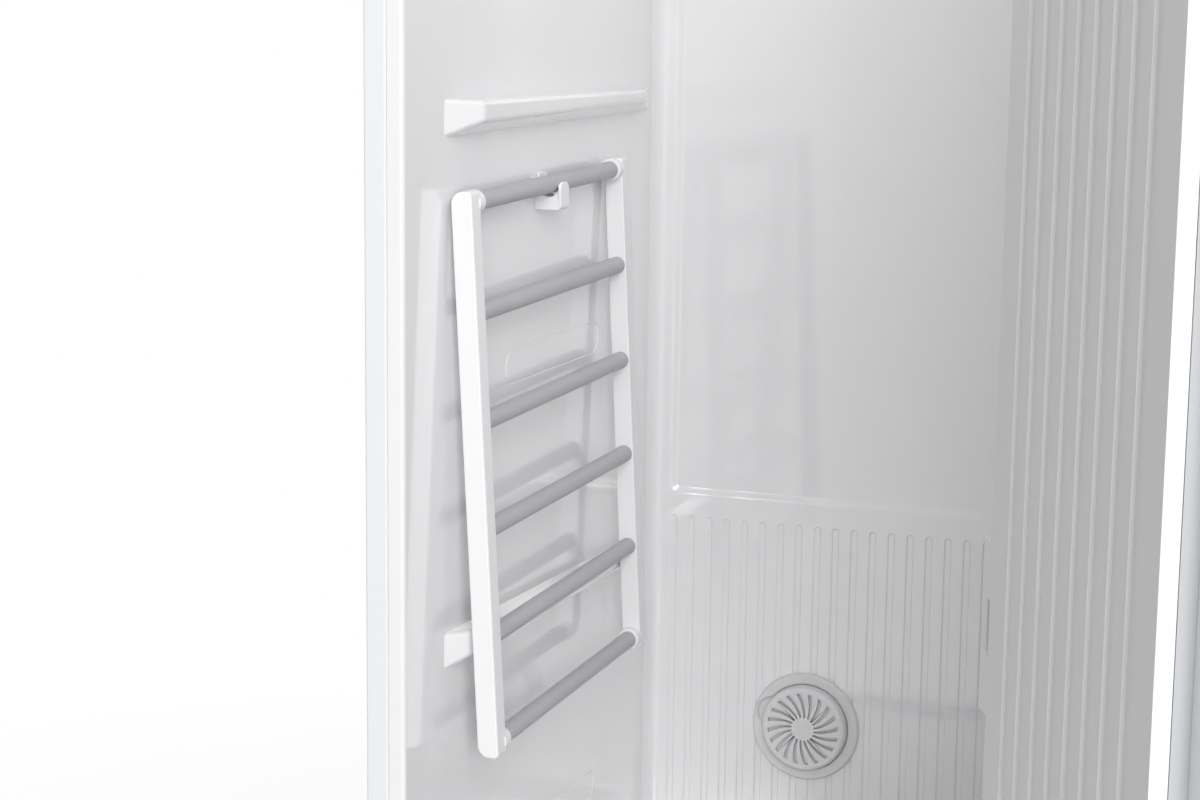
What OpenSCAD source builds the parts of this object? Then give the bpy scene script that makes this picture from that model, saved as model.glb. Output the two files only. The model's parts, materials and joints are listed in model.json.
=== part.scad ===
// Steam closet, standing on its feet with its door open.
// The origin is on the floor under the middle of the cabinet. X runs to the right, Y into the chamber, Z up.

/* [Cabinet] */
// Width over the side panels
cabinet_w = 445; // [440:1:460]
// Depth of the cabinet without its door
cabinet_d = 530; // [526:1:560]
// Height of the top panel above the floor
cabinet_h = 1830; // [1826:1:1900]
// Thickness of the outer sheet steel
sheet_t = 1; // [0.8:0.1:1.2]
// Height of the base tray above the floor
foot_h = 18; // [17:1:22]
// Distance from the outer side face to the chamber's side wall
side_gap = 26.5; // [25.5:0.5:28]
// Width of the side panel's front return
strip_w = 15.3; // [14:0.1:16]
// Depth of the return's folded hem
hem = 9; // [6:1:12]
// Outer radius of the sheet's bends
bend_r = 1.8; // [1.4:0.1:1.9]
// Seam between the front return and the liner's flange
seam = 0.5; // [0.3:0.1:0.8]
// Height of the base tray's rim
tray_h = 30; // [24:1:34]
// Thickness of the base tray and brackets
plate_t = 2; // [1.5:0.1:2.5]

/* [Chamber] */
// Space behind the chamber for its back wall, the foam and the steam hose
rear_space = 73; // [69:1:80]
// Space between the tank bay and the chamber's floor moulding
bay_top_gap = 12; // [8:1:22]
// Space above the chamber for the liner, the foam and the hanger's motor
top_space = 120; // [114:1:128]
// Thickness of the moulded liner
liner_t = 2.5; // [2:0.1:3]
// Thickness of the liner's back wall
back_t = 6; // [5:0.5:7]
// Radius between a side wall and the back wall
corner_r = 12; // [9:0.5:13]
// Radius of the rounded lip at the front opening
lip_r = 3; // [2:0.5:4]
// Depth of the floor moulding under the chamber
floor_h = 36; // [32:1:38]
// Thickness of the floor moulding's walls
floor_t = 3; // [2.5:0.1:3.5]

/* [Shelf ledges] */
// How far a ledge stands out from the wall
ledge_proj = 16; // [13:0.5:16]
// Start of a ledge behind the front
ledge_front = 58; // [54:1:64]
// Distance of a ledge's rear end from the back wall
ledge_back = 13; // [13:1:23]
// Height of a ledge at the wall
ledge_h = 24.4; // [20:0.2:26]
// How much less high a ledge is at its rear end
ledge_taper = 5; // [0:0.2:6]
// Rise of the sloped underside to the crest
ledge_rise = 7; // [5:0.5:9]
// Fall of the sloped top side to the crest
ledge_drop = 2.4; // [1:0.2:4]
// Length of the slope at a ledge's front end
ledge_nose = 29; // [20:1:32]
// Length of the slope at a ledge's rear end
ledge_tail = 54; // [40:1:60]
// Edge radius of a ledge's crest
ledge_r = 2.5; // [1.5:0.5:3]
// Height of the upper ledge above the chamber's floor
upper_ledge_z = 580.6; // [576:0.2:590]
// Height of the lower ledge's front above the chamber's floor
lower_ledge_z = 240; // [232:1:242]
// Fall of the lower ledge to the rear, in degrees
ledge_fall = 1.1; // [0:0.1:1.4]

/* [Wall outlines] */
// Length of a racetrack outline
track_len = 177; // [150:1:190]
// Height of a racetrack outline
track_h = 23.6; // [18:0.2:28]
// Start of an outline behind the front
track_front = 160; // [150:1:170]
// Height of the upper outline's centre above the chamber's floor
track_upper = 422; // [410:1:440]
// Height of the lower outline's centre above the chamber's floor
track_lower = 80; // [60:1:100]
// Width of the outline's groove
track_line = 1.6; // [1:0.1:2.4]
// Depth of the outline's groove
track_depth = 0.6; // [0.4:0.1:1]

/* [Back wall] */
// Least distance from a side wall to the middle of the outermost flute
flute_side = 18; // [16:0.5:24]
// Distance between two flutes
flute_pitch = 14.64; // [13.8:0.02:14.7]
// Width of a flute
flute_w = 5.9; // [4:0.1:8]
// Depth of a flute
flute_depth = 1.2; // [0.8:0.1:1.6]
// Height of the flutes' round tops above the chamber's floor
flute_top = 265; // [250:1:268]
// Space under the flutes
flute_foot = 14; // [10:1:20]
// Distance of the recess from the side walls
recess_side = 16; // [14:0.5:22]
// Height of the recess's lower edge above the chamber's floor
recess_z = 281; // [276:1:300]
// Distance of the recess from the ceiling
recess_top = 26; // [16:1:40]
// Depth of the recess
recess_depth = 3; // [2:0.2:3.6]
// Corner radius of the recess
recess_r = 9; // [8:1:14]
// Width of the slope round the recess
recess_slope = 7; // [4:0.5:7.5]

/* [Steam grille] */
// Distance of the grille's centre from the left wall
grille_x = 132.6; // [120:1:140]
// Height of the grille's centre above the chamber's floor
grille_z = 105; // [95:1:115]
// Radius of the grille's disc
grille_r = 33.8; // [32:0.2:36]
// Radius of the collar round it
collar_r = 42.8; // [42:0.2:45]
// Height of the collar above the back wall
collar_h = 4.5; // [3.5:0.5:6]
// Fall of the collar's face towards the disc
collar_dish = 1; // [0.4:0.1:1.6]
// Running gap between the disc and the collar
grille_gap = 0.8; // [0.4:0.1:1.2]
// Height of the disc's face above the back wall
disc_h = 11; // [9:0.5:13]
// Radius of the disc's shoulder
disc_round = 2.6; // [1.6:0.2:3.4]
// Wall thickness of the disc
disc_t = 2.4; // [1.8:0.1:2.8]
// Direction of the thumb scoop, above the horizontal, in degrees
scoop_turn = 19; // [0:1:40]
// Number of slots
slot_n = 20; // [16:1:22]
// Radius where the slots begin
slot_r0 = 9.2; // [9:0.1:11]
// Radius where the slots end
slot_r1 = 28.5; // [26:0.5:29]
// Width of a slot at its inner end
slot_w0 = 1.4; // [1:0.1:1.8]
// Width of a slot at its outer end
slot_w1 = 3.4; // [2.6:0.1:4]
// Angle by which a slot curls from its inner to its outer end
slot_swirl = 16; // [8:1:24]

/* [Rack] */
// Number of rods
rod_n = 6; // [6:1:6]
// Distance between two rods
rod_pitch = 70; // [68:0.5:71]
// Diameter of a rod
rod_d = 12.2; // [10:0.1:12.4]
// Length of the rods between the bars
rod_span = 259.7; // [250:0.1:265]
// How deep a rod sits in its bar
rod_seat = 8; // [6:0.5:10]
// Width of a bar across the rack
bar_t = 14.3; // [13.5:0.1:15]
// Width of a bar along the rods
bar_w = 14.6; // [13:0.1:16]
// How far a bar runs past its end rod
bar_end = 8; // [7.5:0.5:12]
// Radius of a bar's ends at the wall side
bar_r = 8; // [6:0.5:9]
// Radius of a bar's ends at the chamber side
bar_r2 = 3; // [2:0.5:4]
// Wall of the collar round an end rod
socket_t = 1.9; // [1.4:0.1:2.2]
// Length of the collar round an end rod
socket_len = 7; // [5:0.5:9]
// Distance of the top rod's axis from the side wall
rack_wall = 10.2; // [10:0.1:12]
// Distance of the front bar's inner face from the front
rack_front = 77; // [74:1:84]
// Height of the top rod above the chamber's floor
rack_z = 540; // [538:1:545]
// Lean of the rack, foot away from the wall, in degrees
rack_lean = 2.75; // [2.75:0.05:3]
// Slope of the rods, rear ends higher, in degrees
rack_tilt = 0.88; // [0:0.02:0.9]

/* [Hook] */
// Width of the hook along the wall
hook_w = 16.2; // [15:0.2:20]
// Start of the hook behind the front
hook_front = 210.3; // [206:0.1:214]
// Thickness of the hook's back plate
hook_back = 3; // [2:0.1:3.4]
// Thickness of the hook's lip
hook_lip = 2.2; // [1.8:0.1:3.5]
// Depth of the hook under the rod's axis
hook_drop = 15.5; // [13:0.5:18]
// Height of the lip above the rod's axis
hook_rise = 3.5; // [2:0.5:6]
// Height of the back plate above the rod's axis
hook_top = 10; // [8:0.5:12]
// Radius of the back plate's top corners
hook_r = 7; // [4:0.5:7]
// Radius of the lip's top corners
hook_lip_r = 6.5; // [2:0.5:7]
// Clearance between the rod and the hook
hook_gap = 0.4; // [0.3:0.05:0.6]

/* [Moving hanger] */
// Length of the hanger bar
hanger_len = 300; // [280:2:310]
// Width of the hanger bar
hanger_w = 26; // [22:1:28]
// Thickness of the hanger bar
hanger_t = 14; // [12:1:16]
// Number of notches for hangers
notch_n = 5; // [4:1:6]
// Width of a notch
notch_w = 7; // [5:0.5:9]
// Depth of a notch
notch_depth = 6; // [4:0.5:7]
// Distance of the hanger bar's underside from the ceiling
hanger_drop = 74; // [70:1:84]
// Crank radius
crank_r = 24; // [22:0.5:26]
// Radius of the crank's pin
crank_pin_r = 4; // [3.5:0.1:4.5]
// Clearance of the crank's pin in its slot
yoke_gap = 0.9; // [0.8:0.05:1.1]
// Running clearance of the slider in its guide
guide_gap = 0.4; // [0.3:0.05:0.6]

/* [Door] */
// Thickness of the closed door
door_t = 50; // [48:1:50]
// Gap between the closed door and the cabinet
door_gap = 5; // [5:0.5:7]
// Gap between the door and the top panel's level
door_top_gap = 4; // [3:0.5:6]
// Height of the door's lower edge
door_z = 24; // [24:0.5:30]
// How far the door stands open, in degrees
door_open = 115; // [100:1:118]
// Thickness of the front panel
front_t = 4; // [3:0.5:5]
// Width of the door frame's stiles and rails
stile_w = 26; // [25:1:30]
// Thickness of the door's inner moulding
door_liner_t = 3; // [2.5:0.1:3.5]
// How far the moulding's centre stands out
plateau_h = 15; // [12:1:18]
// Width of the slope round the moulding's centre
plateau_slope = 6; // [3:0.5:8]
// Distance of the raised centre from the chamber's walls
plateau_side = 24; // [20:1:30]
// Width of the gasket
gasket_w = 10; // [9:0.5:10]
// Height of the display window
window_h = 150; // [120:1:180]
// Width of the display window
window_w = 70; // [50:1:90]
// Length of the edge grip
grip_len = 420; // [360:5:480]
// Radius of the hinge pins
hinge_pin_r = 5; // [4:0.5:6]
// Distance of the hinge axis from the door's edge
hinge_inset = 14.5; // [14:0.1:14.5]
// Radial clearance of a pin in its bush
pin_gap = 0.05; // [0.03:0.01:0.08]

/* [Trouser press] */
// Width of the press
press_w = 280; // [250:2:290]
// Distance of the press from the chamber's ceiling
press_top = 200; // [160:10:300]
// Thickness of the press's base and cover
press_t = 8; // [6:0.5:10]
// Height of the press above the chamber's floor
press_z = 210; // [180:5:240]
// Radius of the press's hinge pin
press_pin_r = 2.5; // [2:0.1:3]

/* [Tanks] */
// Height left in the bay over a tank's body, for its lid and for lifting it
tank_space = 24; // [14:1:44]
// Depth of a tank
tank_d = 186; // [170:2:188]
// Wall of a tank
tank_t = 2.5; // [2:0.1:3]
// Clearance between a tank and its bay
tank_gap = 1.5; // [1:0.1:2]
// Height of the tank bay
bay_h = 330; // [325:1:335]
// Wall of the tank bay
bay_t = 3; // [2.5:0.1:3.5]
// Distance of the bay's walls from the chamber's walls in plan
bay_inset = 21; // [20:0.5:24]
// Depth of the tank bay
bay_d = 204; // [202:1:210]

/* [Machine] */
// Radius of the fan wheel
fan_r = 52; // [46:1:54]
// Depth of the fan wheel
fan_d = 46; // [40:1:48]
// Number of fan blades
blade_n = 24; // [20:1:28]
// Radius of the compressor
compressor_r = 55; // [50:1:56]
// Height of the compressor
compressor_h = 170; // [150:2:180]
// Number of fins on a heat exchanger
fin_n = 30; // [24:1:34]
// Thickness of a fin
fin_t = 1.2; // [0.8:0.1:1.6]
// Radius of the steam hose
hose_r = 8; // [7:0.5:9]

/* [Hidden] */
$fn = 48;
clear = 0.3;
front_y = -cabinet_d / 2;
rear_y = cabinet_d / 2;
bay_z = foot_h + tray_h + 14;
chamber_w = cabinet_w - 2 * side_gap;
chamber_d = cabinet_d - rear_space;
chamber_z = bay_z + bay_h + bay_top_gap + floor_h;
chamber_h = cabinet_h - chamber_z - top_space;
wall_x = chamber_w / 2;
back_y = front_y + chamber_d;
ceiling_z = chamber_z + chamber_h;
flange_x = cabinet_w / 2 - strip_w - seam;
sheet_x = cabinet_w / 2 - sheet_t;
ledge_len = chamber_d - ledge_front - ledge_back;
flute_n = 2 * floor((wall_x - flute_side) / flute_pitch) + 1;
rod_r = rod_d / 2;
rod_x = -wall_x + rack_wall;
rod_z = chamber_z + rack_z;
rack_y = front_y + rack_front;
grille_at = [-wall_x + grille_x, back_y, chamber_z + grille_z];
hanger_y = front_y + chamber_d / 2;
slider_z = ceiling_z - 26;
slider_h = 11;
guide_t = 4;
guide_w = 31;
guide_z = slider_z - guide_gap - guide_t;
crank_y = hanger_y - crank_r;
crank_z = ceiling_z + liner_t + 4;
hinge_x = cabinet_w / 2 - hinge_inset;
hinge_y = front_y - door_gap - door_t / 2;
door_front = front_y - door_gap - door_t;
door_back = front_y - door_gap;
door_top = cabinet_h - door_top_gap;
door_h = door_top - door_z;
bay_back = front_y + bay_d;
bay_w = chamber_w - 2 * bay_inset;
tank_w = (bay_w - 3 * bay_t - 4 * tank_gap) / 2;
tank_x = (tank_w + bay_t) / 2 + tank_gap;
tank_y = front_y + 2 + tank_d / 2;
tank_z = bay_z + bay_t + clear;
tank_h = bay_h - 2 * bay_t - tank_space;
fan_at = [-wall_x + 104, back_y - 62, chamber_z - 140];
filter_x = -wall_x + 126;
filter_y = front_y + 34;
aroma_x = wall_x - 106;
outlet_y = fan_at[1];
press_h = chamber_h - press_z - press_top;
press_mid = chamber_z + press_z + press_h / 2;
foot_x = cabinet_w / 2 - 42.5;
foot_r = 5;
foot_pad_r = 17;
foot_pad_t = 7;
foot_hex_r = 10;
rear_foot_r = 15;
front_foot_y = front_y + 40;
rear_foot_y = rear_y - 40;
service_z = foot_h + tray_h + 20;
service_h = 290;
lamp_y = front_y + 92;
lamp_w = 130;
lamp_d = 34;
filter_w = 150;
filter_d = 46;
filter_h = 14;
aroma_w = 76;
aroma_d = 46;
aroma_h = 14;
aroma_t = 3;
outlet_w = 290;
spigot_r = 9;
scoop_r = 13;
disc_seat = 0.8;
stem_w = 8;
motor_shaft_r = 4;
window_z = 1250;
bush_r = 9;
bush_len = 24;
hinge_r = 13;
hinge_t = 4;
hinge_side = 46;
hinge_reach = 50;
grip_depth = 14;
grip_t = 24;
grip_y = door_front + front_t + 10;
grip_z = 1000;
knuckle_r = 5;
knuckle_len = 30;
press_axis_x = press_w / 2 + knuckle_r + clear;
press_axis_y = door_back + plateau_h + press_t + clear / 2;
cover_h = 20;
valve_r = 8;
valve_z = 24;
grasp_w = 96;
grasp_d = 36;
grasp_h = 40;
grasp_drop = 67;
boiler_x = sheet_x - 101.5;
boiler_y = bay_back + 61;
boiler_z = chamber_z - 155;
boiler_w = 110;
boiler_d = 80;
boiler_h = 70;
neck_z = 52;
element_r = 4;
element_x = 16;
element_z = 16;
hose_bend = 24;
fan_side = 5;
outlet_d = fan_d + 2 * fan_side - 2 * floor_t;
fan_shaft_r = 4;
blade_w = 12;
duct_w = 50;
coil_x = -sheet_x + 36.5;
coil_w = boiler_x - boiler_w / 2 - 24 - coil_x;
coil_z = chamber_z - 200;
coil_h = 150;
coil_d = 32;
compressor_x = sheet_x - 121.5;
compressor_y = rear_y - 80;
pump_x = compressor_x - compressor_r - 45;
pump_y = rear_y - 75;
pump_w = 52;
pump_d = 44;
pump_r = 17;
pump_h = 40;
box_y = boiler_y + boiler_d / 2 + 30;
box_w = 58;
box_d = rear_y - 45 - box_y;
box_h = 140;
box_slot = 4;
box_step = 15;
inlet_x = -sheet_x + 35.5;
inlet_z = 110;
inlet_w = 36;
inlet_h = 28;
service_w = -2 * (inlet_x + inlet_w);
rear_fold = 14;
bead_x = sheet_x - 101.5;
bead_w = 18;
motor_bay_w = 150;
motor_bay_d = 130;
scroll_gap = 18;
fan_wall = 3;

// Points of an arc with centre c, radius r, from angle a to angle b in n steps
function arc(c, r, a, b, n) = [for (i = [0 : n])
    let (t = a + (b - a) * i / n) c + r * [cos(t), sin(t)]];

// Point on a grille slot's edge: s runs from 0 inside to 1 outside, side is 1 or -1
function slot_point(s, side) =
    let (r = slot_r0 + (slot_r1 - slot_r0) * s, w = slot_w0 + (slot_w1 - slot_w0) * s,
        a = 90 + slot_swirl * (s - 0.5) + slot_swirl * 0.35 * s * (1 - s))
    [r * cos(a), r * sin(a)] + side * w / 2 * [-sin(a), cos(a)];

// Mirrors its children to the right side of the cabinet when side is 1
module on_side(side) {
    if (side > 0) mirror([1, 0, 0]) children();
    else children();
}

// A rectangle with round corners, centred
module round_rect(w, h, r) {
    square([w, h - 2 * r], center = true);
    square([w - 2 * r, h], center = true);
    for (x = [-1, 1]) for (y = [-1, 1])
        translate([x * (w / 2 - r), y * (h / 2 - r)]) circle(r);
}

// An upright block with round vertical edges, centred in plan and standing on z = 0
module round_block(w, d, h, r) {
    linear_extrude(h) round_rect(w, d, r);
}

// A box given by its low corner and its size
module block(at, size) {
    translate(at) cube(size);
}

// A cylinder along Y that starts at y = 0
module bar_y(r, len) {
    rotate([-90, 0, 0]) cylinder(r = r, h = len);
}

// Plan of the chamber, grown outwards by side at the walls and by rear at the back
module chamber_plan(side, rear) {
    w = chamber_w + 2 * side;
    d = chamber_d + rear;
    r = corner_r + side;
    translate([-w / 2, front_y]) square([w, d - r]);
    translate([-w / 2 + r, front_y]) square([w - 2 * r, d]);
    for (x = [-1, 1]) translate([x * (w / 2 - r), front_y + d - r]) circle(r);
}

// A bend of the sheet in plan: a quarter ring about its centre, turned by a
module sheet_bend(centre, a) {
    translate(centre) rotate(a) intersection() {
        difference() {
            circle(bend_r);
            circle(bend_r - sheet_t);
        }
        square(bend_r);
    }
}

// Outer sheet of a side, folded in at the front and the rear
module side_sheet() {
    x0 = -cabinet_w / 2;
    r = bend_r;
    h = cabinet_h - plate_t - foot_h;
    translate([0, 0, foot_h]) linear_extrude(h) {
        translate([x0, front_y + r]) square([sheet_t, cabinet_d - 2 * r]);
        translate([x0 + r, front_y]) square([strip_w - 2 * r, sheet_t]);
        translate([x0 + strip_w - sheet_t, front_y + r]) square([sheet_t, hem - r]);
        translate([x0 + r, rear_y - sheet_t]) square([rear_fold - r, sheet_t]);
        sheet_bend([x0 + r, rear_y - r], 90);
        sheet_bend([x0 + r, front_y + r], 180);
        sheet_bend([x0 + strip_w - r, front_y + r], 270);
    }
}

module side_panel_left() {
    color("whitesmoke") on_side(0) side_sheet();
}

module side_panel_right() {
    color("whitesmoke") on_side(1) side_sheet();
}

// Folded tray that closes the cabinet above
module top_panel() {
    color("whitesmoke") translate([0, 0, cabinet_h - plate_t]) {
        round_block(cabinet_w, cabinet_d, plate_t, 3);
        for (x = [-1, 1]) block([x * (sheet_x - clear - sheet_t / 2) - sheet_t / 2, front_y + 14, -18],
            [sheet_t, cabinet_d - 28, 18]);
        block([-flange_x, front_y, ceiling_z + liner_t - cabinet_h + plate_t],
            [2 * flange_x, sheet_t, cabinet_h - plate_t - ceiling_z - liner_t]);
    }
}

// Rear sheet with long pressed beads and an opening behind the machine
module rear_panel() {
    w = 2 * (sheet_x - 1);
    h = cabinet_h - plate_t - foot_h - tray_h;
    color("gainsboro") difference() {
        union() {
            block([-w / 2, rear_y - 2 * sheet_t, foot_h + tray_h], [w, sheet_t, h]);
            for (x = [-bead_x, 0, bead_x])
                block([x - bead_w / 2, rear_y - sheet_t, chamber_z + 60], [bead_w, sheet_t, chamber_h - 60]);
        }
        block([-service_w / 2, rear_y - 5, service_z], [service_w, 10, service_h]);
        block([inlet_x - inlet_w / 2, rear_y - 5, inlet_z - inlet_h / 2], [inlet_w, 10, inlet_h]);
    }
}

// Cover over the machine, with rows of air slots
module service_cover() {
    w = service_w + 24;
    color("gainsboro") difference() {
        block([-w / 2, rear_y - sheet_t, service_z - 12], [w, sheet_t, service_h + 24]);
        for (row = [0 : 9]) for (x = [-90, 90])
            translate([x, rear_y, service_z + 40 + row * 16]) rotate([90, 0, 0])
                linear_extrude(6, center = true) round_rect(110, 5, 2.4);
        for (x = [-1, 1]) for (z = [0, 1])
            translate([x * (w / 2 - 8), rear_y - 5, service_z - 4 + z * (service_h + 8)]) bar_y(2, 10);
    }
}

// Pressed steel tray that carries everything
module base_tray() {
    w = 2 * (sheet_x - clear);
    d = cabinet_d - hem - 2 * sheet_t;
    mid = hem / 2;
    color("silver") difference() {
        translate([0, mid, foot_h]) round_block(w, d, tray_h, 6);
        translate([0, mid, foot_h + plate_t]) round_block(w - 2 * plate_t, d - 2 * plate_t, tray_h, 4.5);
        for (x = [-1, 1]) translate([x * foot_x, front_foot_y, foot_h - 1])
            cylinder(r = foot_r + pin_gap, h = 20);
    }
    color("silver") for (x = [-1, 1]) translate([x * foot_x, front_foot_y, foot_h + plate_t]) difference() {
        cylinder(r = foot_r + 5, h = 10);
        translate([0, 0, -1]) cylinder(r = foot_r + pin_gap, h = 20);
    }
}

// Plinth strip under the tank bay
module kick_plate() {
    color("whitesmoke") {
        block([-flange_x, front_y, foot_h + 1], [2 * flange_x, sheet_t, bay_z - foot_h - 1]);
        block([-flange_x, front_y, bay_z - 10], [2 * flange_x, 10, sheet_t]);
    }
}

// Foam boards at both sides, behind and above the chamber
module insulation() {
    side = sheet_x - wall_x - liner_t - 1;
    h = chamber_h - 8;
    color("ivory") {
        for (x = [0, 1]) on_side(x) block([-wall_x - liner_t - side, front_y + 12, chamber_z + 4],
            [side, chamber_d - 26, h]);
        block([-wall_x + 16, back_y + back_t, chamber_z + 190], [chamber_w - 32, 18, h - 190]);
        difference() {
            block([-wall_x + 4, front_y + 12, ceiling_z + liner_t], [chamber_w - 8, chamber_d - 20, 20]);
            block([-motor_bay_w / 2, hanger_y - motor_bay_w / 2, ceiling_z], [motor_bay_w, motor_bay_d, 40]);
            block([-70, lamp_y - 22, ceiling_z], [140, 44, 40]);
        }
    }
}

// Fixed rubber feet at the rear corners
module rear_feet() {
    color("dimgray") for (x = [-1, 1]) translate([x * foot_x, rear_foot_y, 0])
        cylinder(r = rear_foot_r, h = foot_h);
}

// Levelling foot: a pad, a hexagon and a stem in the base tray's bush
module levelling_foot(x) {
    color("dimgray") translate([x, front_foot_y, 0]) {
        cylinder(r = foot_pad_r, h = foot_pad_t);
        translate([0, 0, foot_pad_t])
            cylinder(r = foot_hex_r, h = foot_h - foot_pad_t - clear, $fn = 6);
        cylinder(r = foot_r, h = foot_h + tray_h - 4);
    }
}

module levelling_foot_left() {
    levelling_foot(-foot_x);
}

module levelling_foot_right() {
    levelling_foot(foot_x);
}

// Profile of a ledge of height h seen along the wall: x from the wall, y up from its lower edge
module ledge_profile(h) {
    polygon([[0, 0], [ledge_proj - ledge_r, ledge_rise - 1],
        each arc([ledge_proj - ledge_r, ledge_rise + ledge_r - 0.6], ledge_r, -70, 0, 4),
        each arc([ledge_proj - ledge_r, h - ledge_drop - ledge_r], ledge_r, 0, 80, 4),
        [0, h], [-1, h], [-1, 0]]);
}

// Thin slice of a ledge at y: its full profile, or only its root in the wall
module ledge_slice(y, root) {
    fall = ledge_taper * y / ledge_len;
    h = ledge_h - fall;
    translate([0, y, fall / 4]) rotate([90, 0, 0]) linear_extrude(0.01)
        if (root) translate([-1, 0]) square([1, h]); else ledge_profile(h);
}

// One moulded shelf ledge on the left wall, its lower edge z above the chamber's floor
module ledge(z, fall) {
    translate([-wall_x, front_y + ledge_front, chamber_z + z]) rotate([-fall, 0, 0]) hull() {
        for (y = [0, ledge_len]) ledge_slice(y, true);
        for (y = [ledge_nose, ledge_len - ledge_tail]) ledge_slice(y, false);
    }
}

// Groove of a racetrack outline on the left wall
module track_groove(z) {
    translate([-wall_x - track_depth, front_y + track_front + track_len / 2, chamber_z + z])
        rotate([90, 0, 90]) linear_extrude(4) difference() {
            round_rect(track_len, track_h, track_h / 2 - 0.01);
            round_rect(track_len - 2 * track_line, track_h - 2 * track_line, track_h / 2 - track_line - 0.01);
        }
}

// A slab from z = 0 up to t with round corners, whose sides slope in by s
module soft_slab(w, h, r, t, s) {
    hull() {
        linear_extrude(0.01) round_rect(w, h, r, $fn = 32);
        translate([0, 0, t - 0.01]) linear_extrude(0.01)
            round_rect(w - 2 * s, h - 2 * s, r - s + 1, $fn = 32);
    }
}

// One round-topped flute in the back wall
module flute(x) {
    h = flute_top - flute_foot - flute_w / 2;
    translate([x, back_y - 1, chamber_z + flute_foot]) {
        block([-flute_w / 2, 0, 0], [flute_w, 1 + flute_depth, h]);
        translate([0, 0, h]) bar_y(flute_w / 2, 1 + flute_depth);
    }
}

// Large smooth recess in the upper back wall
module back_recess() {
    w = chamber_w - 2 * recess_side;
    h = chamber_h - recess_top - recess_z;
    translate([0, back_y, chamber_z + recess_z + h / 2]) rotate([-90, 0, 0]) {
        translate([0, 0, -2]) linear_extrude(2) round_rect(w, h, recess_r);
        soft_slab(w, h, recess_r, recess_depth, recess_slope);
    }
}

// Slot in the ceiling and the guide for the crank's pin
module pin_window(z, h) {
    r = crank_pin_r + 1.5;
    translate([0, hanger_y, z]) linear_extrude(h) round_rect(2 * (crank_r / 2 + r + 2), 2 * r + 6, 3);
}

// Moulded liner: walls, ceiling, front flange, ledges, outlines, flutes and recess
module chamber_liner() {
    color("white") difference() {
        union() {
            difference() {
                translate([0, 0, chamber_z]) linear_extrude(chamber_h + liner_t)
                    chamber_plan(liner_t, back_t);
                translate([0, 0, chamber_z - 1]) linear_extrude(chamber_h + 1) union() {
                    chamber_plan(0, 0);
                    translate([-wall_x, front_y - 1]) square([chamber_w, 4]);
                }
            }
            for (side = [0, 1]) on_side(side) {
                block([-flange_x, front_y, chamber_z], [flange_x - wall_x, liner_t, chamber_h + liner_t]);
                ledge(upper_ledge_z, 0);
                ledge(lower_ledge_z, ledge_fall);
            }
        }
        for (side = [0, 1]) on_side(side) {
            lip_cut();
            track_groove(track_upper);
            track_groove(track_lower);
        }
        for (i = [0 : flute_n - 1]) flute((i - (flute_n - 1) / 2) * flute_pitch);
        back_recess();
        translate(grille_at + [0, -1, 0]) bar_y(spigot_r + clear, back_t + 2);
        pin_window(ceiling_z - 1, liner_t + 2);
        translate([0, lamp_y, ceiling_z - 1]) round_block(lamp_w - 8, lamp_d - 8, 10, 6);
    }
}

// Rounds the liner's front lip
module lip_cut() {
    translate([-wall_x - lip_r, front_y, chamber_z - 1]) linear_extrude(chamber_h + 1) difference() {
        translate([0, -1]) square([lip_r + 1, lip_r + 1]);
        translate([0, lip_r]) circle(lip_r);
    }
}

// Floor moulding with wells for the lint filter, the aroma filter and the air outlet
module chamber_floor() {
    color("white") difference() {
        union() {
            translate([0, 0, chamber_z - floor_h]) linear_extrude(floor_h) chamber_plan(liner_t, back_t);
            block([-flange_x, front_y, chamber_z - floor_h], [2 * flange_x, floor_t, floor_h]);
        }
        difference() {
            translate([0, 0, chamber_z - floor_h - 1]) linear_extrude(floor_h - floor_t + 1) difference() {
                chamber_plan(liner_t - floor_t, back_t - floor_t);
                translate([-wall_x - 9, front_y - 1]) square([chamber_w + 18, floor_t + 1]);
            }
            well_wall([filter_x, filter_y], filter_w, filter_d, filter_h);
            well_wall([aroma_x, filter_y], aroma_w, aroma_d, aroma_h);
            well_wall([0, outlet_y], outlet_w, outlet_d, floor_h - floor_t);
        }
        translate([filter_x, filter_y, chamber_z - filter_h - clear]) {
            block([-filter_w / 2, -filter_d / 2, 0], [filter_w, filter_d, floor_h]);
            block([-filter_w / 2 + 4, -filter_d / 2 + 4, -floor_h],
                [filter_w - 8, filter_d - 8, 2 * floor_h]);
        }
        translate([aroma_x, filter_y, chamber_z]) {
            block([-aroma_w / 2, -aroma_d / 2, -aroma_t - clear], [aroma_w, aroma_d, 30]);
            block([-aroma_w / 2 + 4, -aroma_d / 2 + 4, -aroma_h], [aroma_w - 8, aroma_d - 8, 30]);
        }
        block([-outlet_w / 2, outlet_y - outlet_d / 2, chamber_z - floor_h - 1],
            [outlet_w, outlet_d, floor_h + 2]);
    }
}

// Block that keeps the walls and the bottom of a well in the floor moulding
module well_wall(at, w, d, h) {
    translate([at[0] - w / 2 - floor_t, at[1] - d / 2 - floor_t, chamber_z - h - floor_t])
        cube([w + 2 * floor_t, d + 2 * floor_t, h + 2 * floor_t]);
}

// Slatted grille over the warm air outlet
module air_outlet() {
    w = outlet_w - 2 * clear;
    d = outlet_d - 2 * clear;
    color("white") translate([0, outlet_y, chamber_z - 8]) {
        difference() {
            round_block(w, d, 8, 1);
            translate([0, 0, -1]) round_block(w - 6, d - 6, 10, 1);
        }
        for (i = [1 : 18]) translate([-w / 2 + i * w / 19, 0, 4]) rotate([0, 20, 0])
            cube([1.6, d - 4, 7], center = true);
    }
}

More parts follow.
